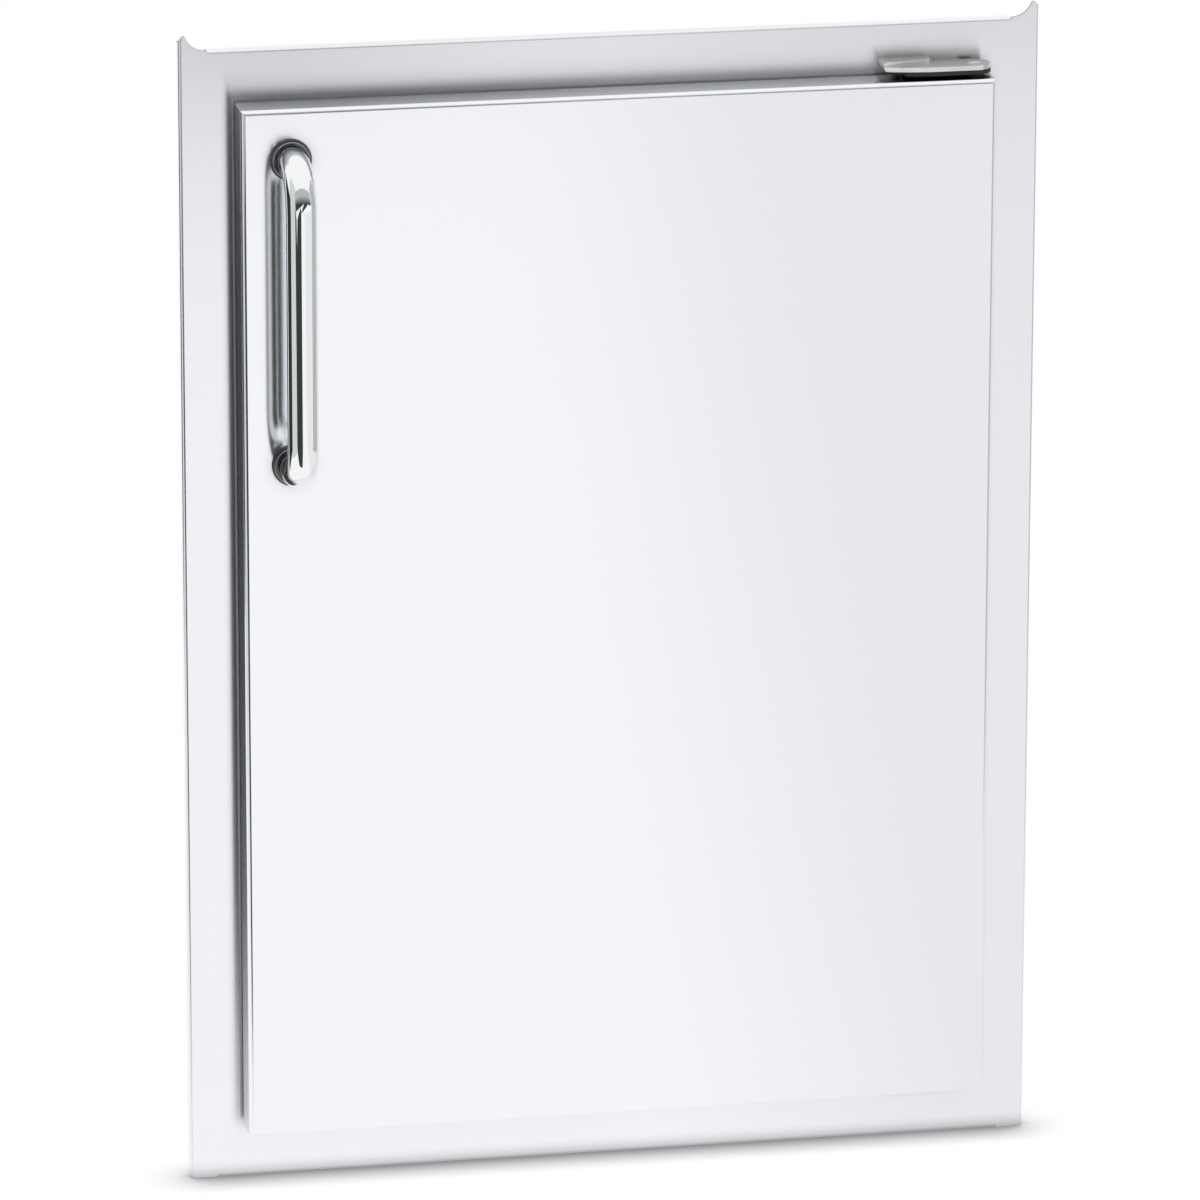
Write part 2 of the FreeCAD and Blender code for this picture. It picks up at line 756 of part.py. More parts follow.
def handle_bezel(z):
    """Stepped black ring round the foot of the handle."""
    start = V(handle_x, door_front, z)
    ring = rod(bezel_radius, start, V(0, -1, 0), bezel_flange)
    collar = rod(bezel_collar_radius, start, V(0, -1, 0), bezel_height)
    body = ring.fuse(collar).removeSplitter()

    def outer_rim(edge):
        box = edge.BoundBox
        return near(box.YMax, door_front - bezel_flange) and box.XLength > 2 * bezel_collar_radius + 0.1

    def collar_rim(edge):
        return near(edge.BoundBox.YMax, door_front - bezel_height)

    body = body.makeFillet(bezel_edge_radius, edges_at(body, outer_rim) + edges_at(body, collar_rim))
    bore = rod(handle_tube_radius + bezel_bore_clearance, start + V(0, 1, 0), V(0, -1, 0),
               bezel_height + 2)
    return body.cut(bore)


def handle_screws():
    """Cap screws from inside the door into the handle's plugs."""
    under_head = skin_inner + backing_plate_thickness + handle_washer_thickness
    pieces = []
    for z in handle_ends:
        seat = V(handle_x, under_head, z)
        crown = under_head + handle_screw_head_height
        head = rod(handle_screw_head_radius, seat, V(0, 1, 0), handle_screw_head_height)
        rim = edges_at(head, lambda edge: near(edge.BoundBox.YMin, crown))
        head = head.makeFillet(handle_screw_head_round, rim)
        grip = under_head - door_front + handle_screw_engagement
        shank = rod(handle_screw_radius, seat, V(0, -1, 0), grip)
        corner = handle_hex_across / 2 / cos(pi / 6)
        turns = [i * pi / 3 for i in range(6)]
        points = [V(handle_x + corner * cos(turn), crown - handle_hex_depth, z + corner * sin(turn))
                  for turn in turns]
        edges = [line(a, b) for a, b in zip(points, points[1:] + points[:1])]
        socket = slab(edges, V(0, handle_hex_depth + 1, 0))
        pieces.append(head.fuse(shank).removeSplitter().cut(socket))
    return Part.makeCompound(pieces)


def handle_screw_washers():
    seat = skin_inner + backing_plate_thickness
    pieces = []
    for z in handle_ends:
        disc = rod(handle_washer_radius, V(handle_x, seat, z), V(0, 1, 0), handle_washer_thickness)
        bore = rod(handle_screw_radius + handle_screw_hole_clearance, V(handle_x, seat - 1, z),
                   V(0, 1, 0), handle_washer_thickness + 2)
        pieces.append(disc.cut(bore))
    return Part.makeCompound(pieces)


def handle_backing_plate():
    """Plate behind the front sheet that spreads the pull of the handle."""
    plate = block(handle_x - backing_plate_width / 2, handle_x + backing_plate_width / 2,
                  skin_inner, skin_inner + backing_plate_thickness,
                  handle_bottom - backing_plate_margin, handle_top + backing_plate_margin)
    room = block(-door_right + door_bend_radius, door_right, skin_inner, liner_front,
                 door_bottom, door_top - door_bend_radius)
    return plate.common(room).cut(handle_holes(skin_inner - 1, skin_inner + backing_plate_thickness + 1))


def handle_access_plugs():
    """Black caps that close the access holes behind the handle screws."""
    radius = access_hole_radius - access_plug_fit
    pieces = []
    for z in handle_ends:
        seat = V(handle_x, door_back, z)
        cap = rod(access_hole_radius + access_plug_rim, seat, V(0, 1, 0), access_plug_cap)
        rim = edges_at(cap, lambda edge: near(edge.BoundBox.YMin, door_back + access_plug_cap))
        cap = cap.makeFillet(access_plug_cap * 0.7, rim)
        barrel = rod(radius, seat, V(0, -1, 0), access_plug_depth)
        hollow = rod(radius - access_plug_wall, seat, V(0, -1, 0), access_plug_depth + 1)
        pieces.append(cap.fuse(barrel.cut(hollow)).removeSplitter())
    return Part.makeCompound(pieces)


# Catches

def catch_housing(z):
    """Black moulded housing, screwed to the sleeve through an ear at each end."""
    back = catch_front + catch_body_depth
    left = -opening_x
    body = block(left, left + catch_body_width, catch_front, back,
                 z - catch_body_length / 2, z + catch_body_length / 2)
    outer = edges_at(body, lambda edge: near(edge.BoundBox.XMin, left + catch_body_width))
    body = body.makeFillet(catch_body_radius, outer)
    ear_y = catch_screw_place(z, 1)[0]
    reach = catch_body_length / 2 + catch_ear_length
    ears = block(left, left + catch_ear_thickness, ear_y - catch_ear_depth / 2,
                 ear_y + catch_ear_depth / 2, z - reach, z + reach)
    corners = edges_at(ears, lambda edge: near(edge.BoundBox.XLength, catch_ear_thickness))
    ears = ears.makeFillet(catch_ear_thickness * 0.9, corners)
    body = body.fuse(ears).removeSplitter()
    pocket = block(catch_x - catch_magnet_thickness / 2 - catch_pole_thickness,
                   catch_x + catch_magnet_thickness / 2 + catch_pole_thickness,
                   catch_front - 1, catch_front + catch_pole_depth - catch_pole_proud,
                   z - catch_pole_length / 2, z + catch_pole_length / 2)
    body = body.cut(pocket)
    for side in (1, -1):
        body = body.cut(catch_screw_hole(z, side))
    return body


def catch_screw_place(z, side):
    ear_y = face_front + (opening_return + frame_bend_radius) / 2
    return ear_y, z + side * (catch_body_length + catch_ear_length) / 2


def catch_screw_hole(z, side):
    y, at = catch_screw_place(z, side)
    start = V(-opening_x + catch_ear_thickness + 1, y, at)
    return rod(catch_screw_radius + screw_hole_clearance, start, V(-1, 0, 0),
               catch_ear_thickness + frame_sheet + jamb_sheet + 2)


def catch_screws():
    pieces = []
    for z in catch_places:
        for side in (1, -1):
            y, at = catch_screw_place(z, side)
            seat = V(-opening_x + catch_ear_thickness, y, at)
            top = seat.x + catch_screw_head_height
            head = rod(catch_screw_head_radius, seat, V(1, 0, 0), catch_screw_head_height)
            crown = edges_at(head, lambda edge: near(edge.BoundBox.XMin, top))
            head = head.makeFillet(catch_screw_head_height * 0.6, crown)
            shank = rod(catch_screw_radius, seat, V(-1, 0, 0),
                        catch_ear_thickness + frame_sheet + jamb_sheet + catch_screw_point)
            point = edges_at(shank, lambda edge: near(edge.BoundBox.XMax, shank.BoundBox.XMin))
            shank = shank.makeChamfer(catch_screw_radius * 0.5, point)
            pieces.append(head.fuse(shank).removeSplitter())
    return Part.makeCompound(pieces)


def catch_magnets():
    pieces = []
    for z in catch_places:
        y0 = catch_front + catch_magnet_setback
        pieces.append(block(catch_x - catch_magnet_thickness / 2, catch_x + catch_magnet_thickness / 2,
                            y0, y0 + catch_magnet_depth,
                            z - catch_pole_length / 2, z + catch_pole_length / 2))
    return Part.makeCompound(pieces)


def catch_pole_plates():
    """Steel plates on both sides of each magnet, proud of the housing."""
    pieces = []
    y0 = catch_front - catch_pole_proud
    for z in catch_places:
        for side in (1, -1):
            inner = catch_x + side * catch_magnet_thickness / 2
            outer = inner + side * catch_pole_thickness
            pieces.append(block(min(inner, outer), max(inner, outer), y0, y0 + catch_pole_depth,
                                z - catch_pole_length / 2, z + catch_pole_length / 2))
    return Part.makeCompound(pieces)


def strike_screw_hole(z):
    start = V(catch_x, door_back + strike_thickness + 1, z)
    length = strike_thickness + 2 * door_sheet + 2
    return rod(strike_screw_radius + screw_hole_clearance, start, V(0, -1, 0), length)


def strike_countersink(z, grow):
    """The cone of a flush screw head, in the face of a strike plate."""
    depth = strike_screw_head_radius - strike_screw_radius
    face = door_back + strike_thickness
    return Part.makeCone(strike_screw_head_radius + grow, strike_screw_radius + grow, depth,
                         V(catch_x, face, z), V(0, -1, 0))


def strike_plates():
    """Steel plates on the back of the door that the magnets hold."""
    pieces = []
    for z in catch_places:
        wire = rounded_rectangle(strike_width / 2, strike_length / 2, strike_corner_radius, door_back, z)
        plate = Part.Face(wire).extrude(V(0, strike_thickness, 0))
        plate.translate(V(catch_x, 0, 0))
        for side in (1, -1):
            at = z + side * strike_screw_spacing / 2
            plate = plate.cut(strike_screw_hole(at)).cut(strike_countersink(at, screw_hole_clearance))
        pieces.append(plate)
    return Part.makeCompound(pieces)


def strike_screws():
    pieces = []
    for z in catch_places:
        for side in (1, -1):
            at = z + side * strike_screw_spacing / 2
            head = strike_countersink(at, 0)
            depth = strike_thickness + 2 * door_sheet + strike_screw_point
            face = V(catch_x, door_back + strike_thickness, at)
            shank = rod(strike_screw_radius, face, V(0, -1, 0), depth)
            pieces.append(head.fuse(shank).removeSplitter())
    return Part.makeCompound(pieces)


def drill_frame_for_catches(shape):
    for z in catch_places:
        for side in (1, -1):
            shape = shape.cut(catch_screw_hole(z, side))
    return shape


def drill_lips_for_strikes(skin):
    for z in catch_places:
        for side in (1, -1):
            skin = skin.cut(strike_screw_hole(z + side * strike_screw_spacing / 2))
    return skin


def slot_for_tabs(flange):
    return flange.cut(upper_tab(tab_clearance)).cut(mirror_on_door(lower_tab(tab_clearance)))


def build():
    head = head_jamb()
    right = right_jamb()
    doubler = hinge_doubler()
    lower_pin = pin_shank(lower_plate_gap + lower_bracket_thickness)
    lower_bushing = hinge_bushing(door_top - door_sheet, door_sheet)
    return {
        "face_flange": slot_for_tabs(drill_frame_for_catches(face_flange())),
        "left_jamb": drill_frame_for_catches(mirror_x(right)),
        "right_jamb": right,
        "head_jamb": head,
        "sill_jamb": head.mirror(V(0, 0, 0), V(0, 0, 1)),
        "door_bumpers": bumpers(),
        "upper_hinge_bracket": upper_bracket(),
        "lower_hinge_bracket": mirror_on_door(lower_bracket()),
        "upper_hinge_pad": upper_pad(),
        "lower_hinge_pad": mirror_on_door(lower_washer()),
        "upper_hinge_pin": upper_pin(),
        "lower_hinge_pin": mirror_on_door(lower_pin),
        "upper_catch_housing": catch_housing(catch_height),
        "lower_catch_housing": catch_housing(-catch_height),
        "catch_magnets": catch_magnets(),
        "catch_pole_plates": catch_pole_plates(),
        "catch_screws": catch_screws(),
        "door_skin": drill_lips_for_strikes(door_skin()),
        "door_liner": door_liner(),
        "door_stiffener": door_stiffener(),
        "upper_hinge_doubler": doubler,
        "lower_hinge_doubler": mirror_on_door(doubler),
        "upper_hinge_bushing": hinge_bushing(door_top, bushing_head_height),
        "lower_hinge_bushing": mirror_on_door(lower_bushing),
        "strike_plates": strike_plates(),
        "strike_screws": strike_screws(),
        "handle_bar": handle_bar(),
        "handle_end_plugs": handle_end_plugs(),
        "upper_handle_bezel": handle_bezel(handle_top),
        "lower_handle_bezel": handle_bezel(handle_bottom),
        "handle_backing_plate": handle_backing_plate(),
        "handle_screws": handle_screws(),
        "handle_screw_washers": handle_screw_washers(),
        "handle_access_plugs": handle_access_plugs(),
    }


os.makedirs("parts", exist_ok=True)
for name, shape in build().items():
    state = (name, shape.isValid(), len(shape.Solids), shape.Volume)
    print("%-22s valid %s, %d solids, %.0f mm3" % state)
    shape.exportStep("parts/%s.step" % name)
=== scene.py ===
import json
from math import cos, pi, radians, sin, sqrt

import bmesh
import bpy
from bpy.props import FloatProperty, FloatVectorProperty, IntProperty, PointerProperty
from mathutils import Matrix, Vector


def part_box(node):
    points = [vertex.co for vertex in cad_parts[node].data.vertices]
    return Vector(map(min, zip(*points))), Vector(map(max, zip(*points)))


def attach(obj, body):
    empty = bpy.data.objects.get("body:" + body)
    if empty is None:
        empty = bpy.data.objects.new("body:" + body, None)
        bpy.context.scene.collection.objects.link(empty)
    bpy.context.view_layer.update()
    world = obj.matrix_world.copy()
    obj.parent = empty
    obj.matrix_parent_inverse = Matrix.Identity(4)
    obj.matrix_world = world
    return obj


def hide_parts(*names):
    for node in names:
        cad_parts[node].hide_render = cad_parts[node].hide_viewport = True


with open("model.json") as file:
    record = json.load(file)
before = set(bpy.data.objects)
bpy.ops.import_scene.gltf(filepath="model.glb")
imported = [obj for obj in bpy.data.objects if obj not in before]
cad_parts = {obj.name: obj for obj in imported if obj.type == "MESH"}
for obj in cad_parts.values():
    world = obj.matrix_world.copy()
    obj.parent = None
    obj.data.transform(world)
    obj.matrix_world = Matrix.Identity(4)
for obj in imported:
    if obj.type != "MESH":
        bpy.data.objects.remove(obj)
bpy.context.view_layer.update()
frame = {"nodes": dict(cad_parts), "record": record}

bl_info = {
    "name": "Island Access Door",
    "version": (1, 0, 0),
    "blender": (4, 5, 0),
    "location": "View3D > Sidebar > Access Door",
    "description": "Dresses a stainless access door and sets up its studio stage",
    "category": "Object",
}

MM = 0.001


# Sizes and colours that a user would change

class FrameSettings(bpy.types.PropertyGroup):
    sheet: FloatProperty(
        name="Sheet", description="Thickness of the face frame's sheet",
        default=1.5 * MM, min=0.0005, unit="LENGTH")
    bend_radius: FloatProperty(
        name="Bend Radius", description="Outer radius of the bends at the edges and the opening",
        default=2 * MM, min=0.001, unit="LENGTH")
    low_corner: FloatProperty(
        name="Low Corner", description="Radius of the bottom corners in the front view",
        default=3 * MM, min=0.0005, unit="LENGTH")
    ear_rise: FloatProperty(
        name="Ear Rise", description="Height of the corner ears over the top edge",
        default=9 * MM, min=0.0, unit="LENGTH")
    ear_hollow: FloatProperty(
        name="Ear Hollow", description="Radius of the hollow curve up to an ear",
        default=13.2 * MM, min=0.01, unit="LENGTH")
    ear_tip: FloatProperty(
        name="Ear Tip", description="Radius of an ear's outer corner",
        default=4 * MM, min=0.001, unit="LENGTH")
    opening_width: FloatProperty(
        name="Opening Width", description="Clear width inside the frame's return",
        default=426.4 * MM, min=0.1, unit="LENGTH")
    opening_height: FloatProperty(
        name="Opening Height", description="Clear height inside the frame's return",
        default=604.2 * MM, min=0.1, unit="LENGTH")
    opening_return: FloatProperty(
        name="Opening Return", description="Depth of the return round the opening",
        default=14 * MM, min=0.002, unit="LENGTH")
    colour: FloatVectorProperty(
        name="Steel", description="Colour of the brushed face frame",
        default=(0.93, 0.935, 0.975), subtype="COLOR", min=0.0, max=1.0)
    grain: FloatProperty(
        name="Grain", description="Brush lines in each metre across the grain",
        default=2200.0, min=10.0)


class DoorSettings(bpy.types.PropertyGroup):
    sheet: FloatProperty(
        name="Sheet", description="Thickness of the door's sheet",
        default=1.2 * MM, min=0.0005, unit="LENGTH")
    bend_radius: FloatProperty(
        name="Bend Radius", description="Outer radius of the bends round the door's front",
        default=3 * MM, min=0.0015, unit="LENGTH")
    back_radius: FloatProperty(
        name="Back Radius", description="Outer radius of the bends round the door's back",
        default=1.8 * MM, min=0.0015, unit="LENGTH")
    corner_radius: FloatProperty(
        name="Corner Radius", description="Radius of the ground corners",
        default=0.8 * MM, min=0.0001, unit="LENGTH")
    lip: FloatProperty(
        name="Lip", description="Width of the lips on the back of the outer pan",
        default=15 * MM, min=0.005, unit="LENGTH")
    liner_border: FloatProperty(
        name="Liner Border", description="Flat border round the recess of the inner panel",
        default=42 * MM, min=0.01, unit="LENGTH")
    liner_recess: FloatProperty(
        name="Liner Recess", description="Depth of the recess in the inner panel",
        default=6 * MM, min=0.0, unit="LENGTH")
    recess_corner: FloatProperty(
        name="Recess Corner", description="Corner radius of the recess",
        default=24 * MM, min=0.01, unit="LENGTH")
    colour: FloatVectorProperty(
        name="Steel", description="Colour of the satin door",
        default=(0.93, 0.935, 0.975), subtype="COLOR", min=0.0, max=1.0)


class HandleSettings(bpy.types.PropertyGroup):
    tube_radius: FloatProperty(
        name="Tube Radius", description="Outer radius of the handle's tube",
        default=9 * MM, min=0.002, unit="LENGTH")
    tube_wall: FloatProperty(
        name="Tube Wall", description="Wall of the handle's tube",
        default=1.5 * MM, min=0.0005, unit="LENGTH")
    bend_radius: FloatProperty(
        name="Bend Radius", description="Centreline radius of the handle's bends",
        default=24 * MM, min=0.01, unit="LENGTH")
    sides: IntProperty(
        name="Sides", description="Sides round the tube", default=64, min=12)
    colour: FloatVectorProperty(
        name="Polish", description="Colour of the polished handle",
        default=(0.90, 0.91, 0.915), subtype="COLOR", min=0.0, max=1.0)


class StageSettings(bpy.types.PropertyGroup):
    azimuth: FloatProperty(
        name="Azimuth", description="How far left of the front the camera stands",
        default=radians(11.08), unit="ROTATION")
    elevation: FloatProperty(
        name="Elevation", description="How far above the object the camera stands",
        default=radians(16.4), unit="ROTATION")
    roll: FloatProperty(
        name="Roll", description="Turn of the camera about its own axis",
        default=radians(0.12), unit="ROTATION")
    distance: FloatProperty(
        name="Distance", description="Camera to its target",
        default=5.587, min=0.5, unit="LENGTH")
    lens: FloatProperty(
        name="Lens", description="Focal length on a 36 mm wide frame",
        default=284.6, min=20.0, unit="CAMERA")
    target: FloatVectorProperty(
        name="Target", description="Point that the camera looks at",
        default=(-0.0064, -0.007, -0.0002), subtype="TRANSLATION", unit="LENGTH")
    sky: FloatProperty(
        name="Sky", description="Strength of the even light from all round",
        default=0.95, min=0.0)
    floor_colour: FloatVectorProperty(
        name="Floor", description="Colour of the floor",
        default=(0.92, 0.92, 0.92), subtype="COLOR", min=0.0, max=1.0)
    # painted shadow: the floor's colour darkens within this reach of the object
    painted_shadow_reach: FloatProperty(
        name="Contact Reach", description="Width of the dark line where the object stands",
        default=30 * MM, min=0.001, unit="LENGTH")


# Shader tools

class Value:
    """A socket that does arithmetic: each operator adds its Math node."""

    def __init__(self, finish, socket):
        self.finish = finish
        self.socket = socket

    def combine(self, operation, first, second):
        node = self.finish.node("ShaderNodeMath", {"operation": operation}, {0: first, 1: second})
        return Value(self.finish, node.outputs[0])

    def __add__(self, other):
        return self.combine("ADD", self, other)

    def __radd__(self, other):
        return self.combine("ADD", other, self)

    def __sub__(self, other):
        return self.combine("SUBTRACT", self, other)

    def __rsub__(self, other):
        return self.combine("SUBTRACT", other, self)

    def __mul__(self, other):
        return self.combine("MULTIPLY", self, other)

    def __rmul__(self, other):
        return self.combine("MULTIPLY", other, self)

    def __truediv__(self, other):
        return self.combine("DIVIDE", self, other)

    def __rtruediv__(self, other):
        return self.combine("DIVIDE", other, self)


class Finish:
    """A material or a world under construction: one method adds any node."""

    def __init__(self, name, kind="Material"):
        blocks = {"Material": bpy.data.materials, "World": bpy.data.worlds}
        self.block = blocks[kind].new(name)
        self.block.use_nodes = True
        self.tree = self.block.node_tree
        self.tree.nodes.clear()
        self.output = self.node("ShaderNodeOutput" + kind)
        self.place = self.node("ShaderNodeTexCoord").outputs["Object"]

    def node(self, kind, settings=None, sockets=None):
        made = self.tree.nodes.new(kind)
        for key, setting in (settings or {}).items():
            if key == "stops":
                self.set_stops(made.color_ramp, setting)
            else:
                setattr(made, key, setting)
        for key, given in (sockets or {}).items():
            self.feed(made.inputs[key], given)
        return made

    def feed(self, socket, given):
        if isinstance(given, Value):
            given = given.socket
        if isinstance(given, bpy.types.NodeSocket):
            self.tree.links.new(given, socket)
        elif socket.type == "RGBA" and len(given) == 3:
            socket.default_value = (*given, 1.0)
        else:
            socket.default_value = given

    def set_stops(self, ramp, stops):
        while len(ramp.elements) < len(stops):
            ramp.elements.new(0.5)
        for element, (position, level) in zip(ramp.elements, stops):
            element.position = position
            element.color = (level, level, level, 1.0)

    def noise(self, scale, detail, roughness):
        """Noise on the object's own coordinates, stretched by a scale on each axis."""
        mapped = self.node("ShaderNodeMapping", {}, {"Vector": self.place, "Scale": scale})
        made = self.node("ShaderNodeTexNoise", {}, {
            "Vector": mapped.outputs[0], "Scale": 1.0, "Detail": detail, "Roughness": roughness})
        return Value(self, made.outputs["Fac"])

    def along(self, axis):
        """The coordinate along an axis, X, Y or Z."""
        apart = self.node("ShaderNodeSeparateXYZ", {}, {"Vector": self.place})
        return Value(self, apart.outputs[axis])

    def between(self, axis, start, end):
        """Rises from 0 at the start to 1 at the end of a stretch along an axis."""
        return self.ramp((self.along(axis) - start) / (end - start), [(0.0, 0.0), (1.0, 1.0)])

    def openness(self, reach, samples):
        """Falls below 1 where another surface lies within a reach."""
        made = self.node("ShaderNodeAmbientOcclusion", {"samples": samples}, {"Distance": reach})
        return Value(self, made.outputs["AO"])

    def ramp(self, source, stops):
        """A value read off a curve through (source, value) stops."""
        made = self.node("ShaderNodeValToRGB", {"stops": stops}, {"Fac": source})
        return Value(self, made.outputs["Color"])

    def mix(self, factor, first, second):
        """A colour between two colours."""
        made = self.node("ShaderNodeMix", {"data_type": "RGBA"}, {"Factor": factor})
        colours = [socket for socket in made.inputs if socket.type == "RGBA"]
        self.feed(colours[0], first)
        self.feed(colours[1], second)
        return next(socket for socket in made.outputs if socket.type == "RGBA")

    def bump(self, height, strength, distance):
        made = self.node("ShaderNodeBump", {}, {
            "Strength": strength, "Distance": distance, "Height": height})
        return made.outputs["Normal"]

    def close(self, shader):
        """Ends the block with the shader that a node gives."""
        self.feed(self.output.inputs["Surface"], shader.outputs[0])
        return self.block

    def surface(self, **sockets):
        """Closes the material with one Principled shader: base_color sets its Base Color."""
        names = {}
        for key, given in sockets.items():
            names[key if key.isupper() else key.replace("_", " ").title()] = given
        return self.close(self.node("ShaderNodeBsdfPrincipled", {}, names))


def shaded(colour, level):
    return tuple(c * level for c in colour)


def brushed_steel(name, colour, roughness, stretch, wave, tone, sweep=0.0, turn=0.0,
                  depth=None, shade_reach=None):
    """Steel brushed one way: fine lines, longer scratches and a slow unevenness.

    The wave is the strength of the lines' relief, and the tone is how much they darken.
    The sweep spreads reflections across the brush lines, and the turn sets their
    direction: 0.25 is for lines from left to right on a face towards the front.
    The depth is (front, back) of a folded pan, whose sides are left brighter than its face; painted
    shade darkens its bends at the back, where they lie close to the frame.
    Within the shade reach of another surface the steel's colour is darkened, a painted shade from
    an Ambient Occlusion node."""
    finish = Finish(name)
    lines = finish.noise(stretch, 4.0, 0.65)
    long_lines = finish.noise([s * 0.3 for s in stretch], 3.0, 0.6)
    cloud = finish.noise((3.0, 3.0, 3.0), 3.0, 0.5)
    grain = lines * 0.6 + long_lines * 0.4
    bright = finish.ramp(grain, [(0.3, 0.0), (0.7, 1.0)])
    tint = finish.mix(bright, shaded(colour, 1 - tone), colour)
    uneven = roughness + (grain - 0.5) * 0.05 + (cloud - 0.5) * 0.04
    if depth:
        front, back = depth
        # painted shade: a darker band on the pan's bends at the back, next to the frame
        seam_shade_width = 2.8 * MM
        uneven = uneven - finish.between("Y", front + 1.0 * MM, front + 2.5 * MM) * 0.07
        close = finish.ramp(
            (finish.along("Y") - (back - seam_shade_width)) / seam_shade_width,
            [(0.0, 0.0), (0.35, 1.0), (0.8, 1.0), (0.95, 0.0)])
        tint = finish.mix(close, tint, shaded(colour, 0.4))
    # painted shade: the colour darkens where an Ambient Occlusion node finds another surface near
    if shade_reach:
        clear = finish.ramp(finish.openness(shade_reach, 8), [(0.45, 0.0), (0.95, 1.0)])
        tint = finish.mix(clear, shaded(colour, 0.5), tint)
    return finish.surface(
        base_color=tint, metallic=1.0, anisotropic=sweep, anisotropic_rotation=turn,
        roughness=uneven, normal=finish.bump(lines, wave, 0.02 * MM))


def polished_metal(name, colour, roughness):
    """Polished metal with faint wipe marks."""
    finish = Finish(name)
    haze = finish.noise((9.0, 9.0, 25.0), 4.0, 0.6)
    marks = finish.noise((1400.0, 1400.0, 90.0), 2.0, 0.5)
    return finish.surface(
        base_color=colour, metallic=1.0,
        roughness=roughness + finish.ramp(haze, [(0.45, 0.0), (0.8, 0.05)]),
        normal=finish.bump(marks, 0.03, 0.02 * MM))


def tumbled_metal(name, colour, roughness, size=700.0):
    """Cut plate or a turned part with a fine even grain."""
    finish = Finish(name)
    grain = finish.noise((size, size, size), 3.0, 0.6)
    cloud = finish.noise((60.0, 60.0, 60.0), 3.0, 0.6)
    tint = finish.mix(finish.ramp(cloud, [(0.35, 0.0), (0.7, 1.0)]), shaded(colour, 0.86), colour)
    return finish.surface(
        base_color=tint, metallic=1.0,
        roughness=roughness + (grain - 0.5) * 0.2,
        normal=finish.bump(grain, 0.2, 0.05 * MM))


def moulded(name, colour, roughness, texture=0.25, size=1500.0, gloss=1.5):
    """Moulded plastic or rubber with a spark-eroded skin."""
    finish = Finish(name)
    skin = finish.noise((size, size, size), 2.0, 0.5)
    dust = finish.noise((120.0, 120.0, 120.0), 4.0, 0.6)
    pale = tuple(min(1.0, c * 1.6 + 0.004) for c in colour)
    tint = finish.mix(finish.ramp(dust, [(0.5, 0.0), (0.85, 1.0)]), colour, pale)
    return finish.surface(
        base_color=tint, metallic=0.0, IOR=gloss,
        roughness=roughness + (dust - 0.5) * 0.12,
        normal=finish.bump(skin, texture, 0.05 * MM))


def make_finishes(settings):
    """The object's materials by the record's slot names."""
    grain = settings.frame.grain
    pan_low, pan_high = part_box("door_skin")
    # reach of the painted shade in the steel's colour near other surfaces
    painted_seam_shade_reach = 10 * MM
    return {
        "flange_steel": brushed_steel(
            "flange_steel", settings.frame.colour, 0.235, (6.0, grain, grain), 0.1, 0.03,
            0.96, 0.25, shade_reach=painted_seam_shade_reach),
        "cut_edge": tumbled_metal("cut_edge", (0.22, 0.22, 0.225), 0.4, 1500.0),
        # lighter metal for the bezels' inner rounded step, a painted highlight
        "bezel_edge": polished_metal("bezel_edge", (0.36, 0.37, 0.39), 0.12),
        "door_steel": brushed_steel(
            "door_steel", settings.door.colour, 0.15, (8.0, grain, grain), 0.06, 0.02,
            0.9, 0.25, (pan_low[1], pan_high[1]), painted_seam_shade_reach),
        "liner_steel": brushed_steel(
            "liner_steel", (0.72, 0.73, 0.74), 0.3, (800.0, 800.0, 6.0), 0.2, 0.06),
        "sleeve_steel": brushed_steel(
            "sleeve_steel", (0.68, 0.69, 0.70), 0.36, (8.0, 30.0, 500.0), 0.2, 0.08),
        "hinge_steel": tumbled_metal("hinge_steel", (0.80, 0.80, 0.79), 0.3),
        "pin_steel": tumbled_metal("pin_steel", (0.82, 0.82, 0.81), 0.25, 1100.0),
        "handle_chrome": polished_metal("handle_chrome", settings.handle.colour, 0.035),
        "bezel_black": moulded("bezel_black", (0.012, 0.013, 0.018), 0.2, 0.03, 1500.0, 1.8),
        "black_nylon": moulded("black_nylon", (0.01, 0.01, 0.01), 0.45),
        "black_plastic": moulded("black_plastic", (0.02, 0.02, 0.021), 0.5),
        "bumper_rubber": moulded("bumper_rubber", (0.03, 0.03, 0.03), 0.75, 0.4, 900.0),
        "magnet_ferrite": moulded("magnet_ferrite", (0.06, 0.06, 0.065), 0.6, 0.5, 1800.0),
        "zinc_plate": tumbled_metal("zinc_plate", (0.66, 0.69, 0.72), 0.32, 500.0),
        "screw_steel": tumbled_metal("screw_steel", (0.68, 0.68, 0.68), 0.28, 900.0),
    }


finishes = {}
slot_of = {entry["node"]: entry["material_slot"] for entry in frame["record"]["subparts"]}
bodies = frame["record"]["behaviour"]["bodies"]
body_of = {node: body for body, nodes in bodies.items() for node in nodes}


# Mesh tools

def edges_in(items):
    return [item for item in items if isinstance(item, bmesh.types.BMEdge)]


def verts_in(items):
    return [item for item in items if isinstance(item, bmesh.types.BMVert)]


def piece_from(bm, name, node, smooth_angle):
    """Makes the finished object for a frame node and puts it in that node's place."""
    bmesh.ops.remove_doubles(bm, verts=bm.verts, dist=1e-6)
    for face in bm.faces:
        face.smooth = True
    for edge in bm.edges:
        soft = edge.calc_face_angle(0.0) < radians(smooth_angle)
        edge.smooth = len(edge.link_faces) != 2 or soft
    mesh = bpy.data.meshes.new(name)
    bm.to_mesh(mesh)
    bm.free()
    piece = bpy.data.objects.new(name, mesh)
    bpy.context.scene.collection.objects.link(piece)
    mesh.materials.append(finishes[slot_of[node]])
    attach(piece, body_of[node])
    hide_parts(node)
    return piece


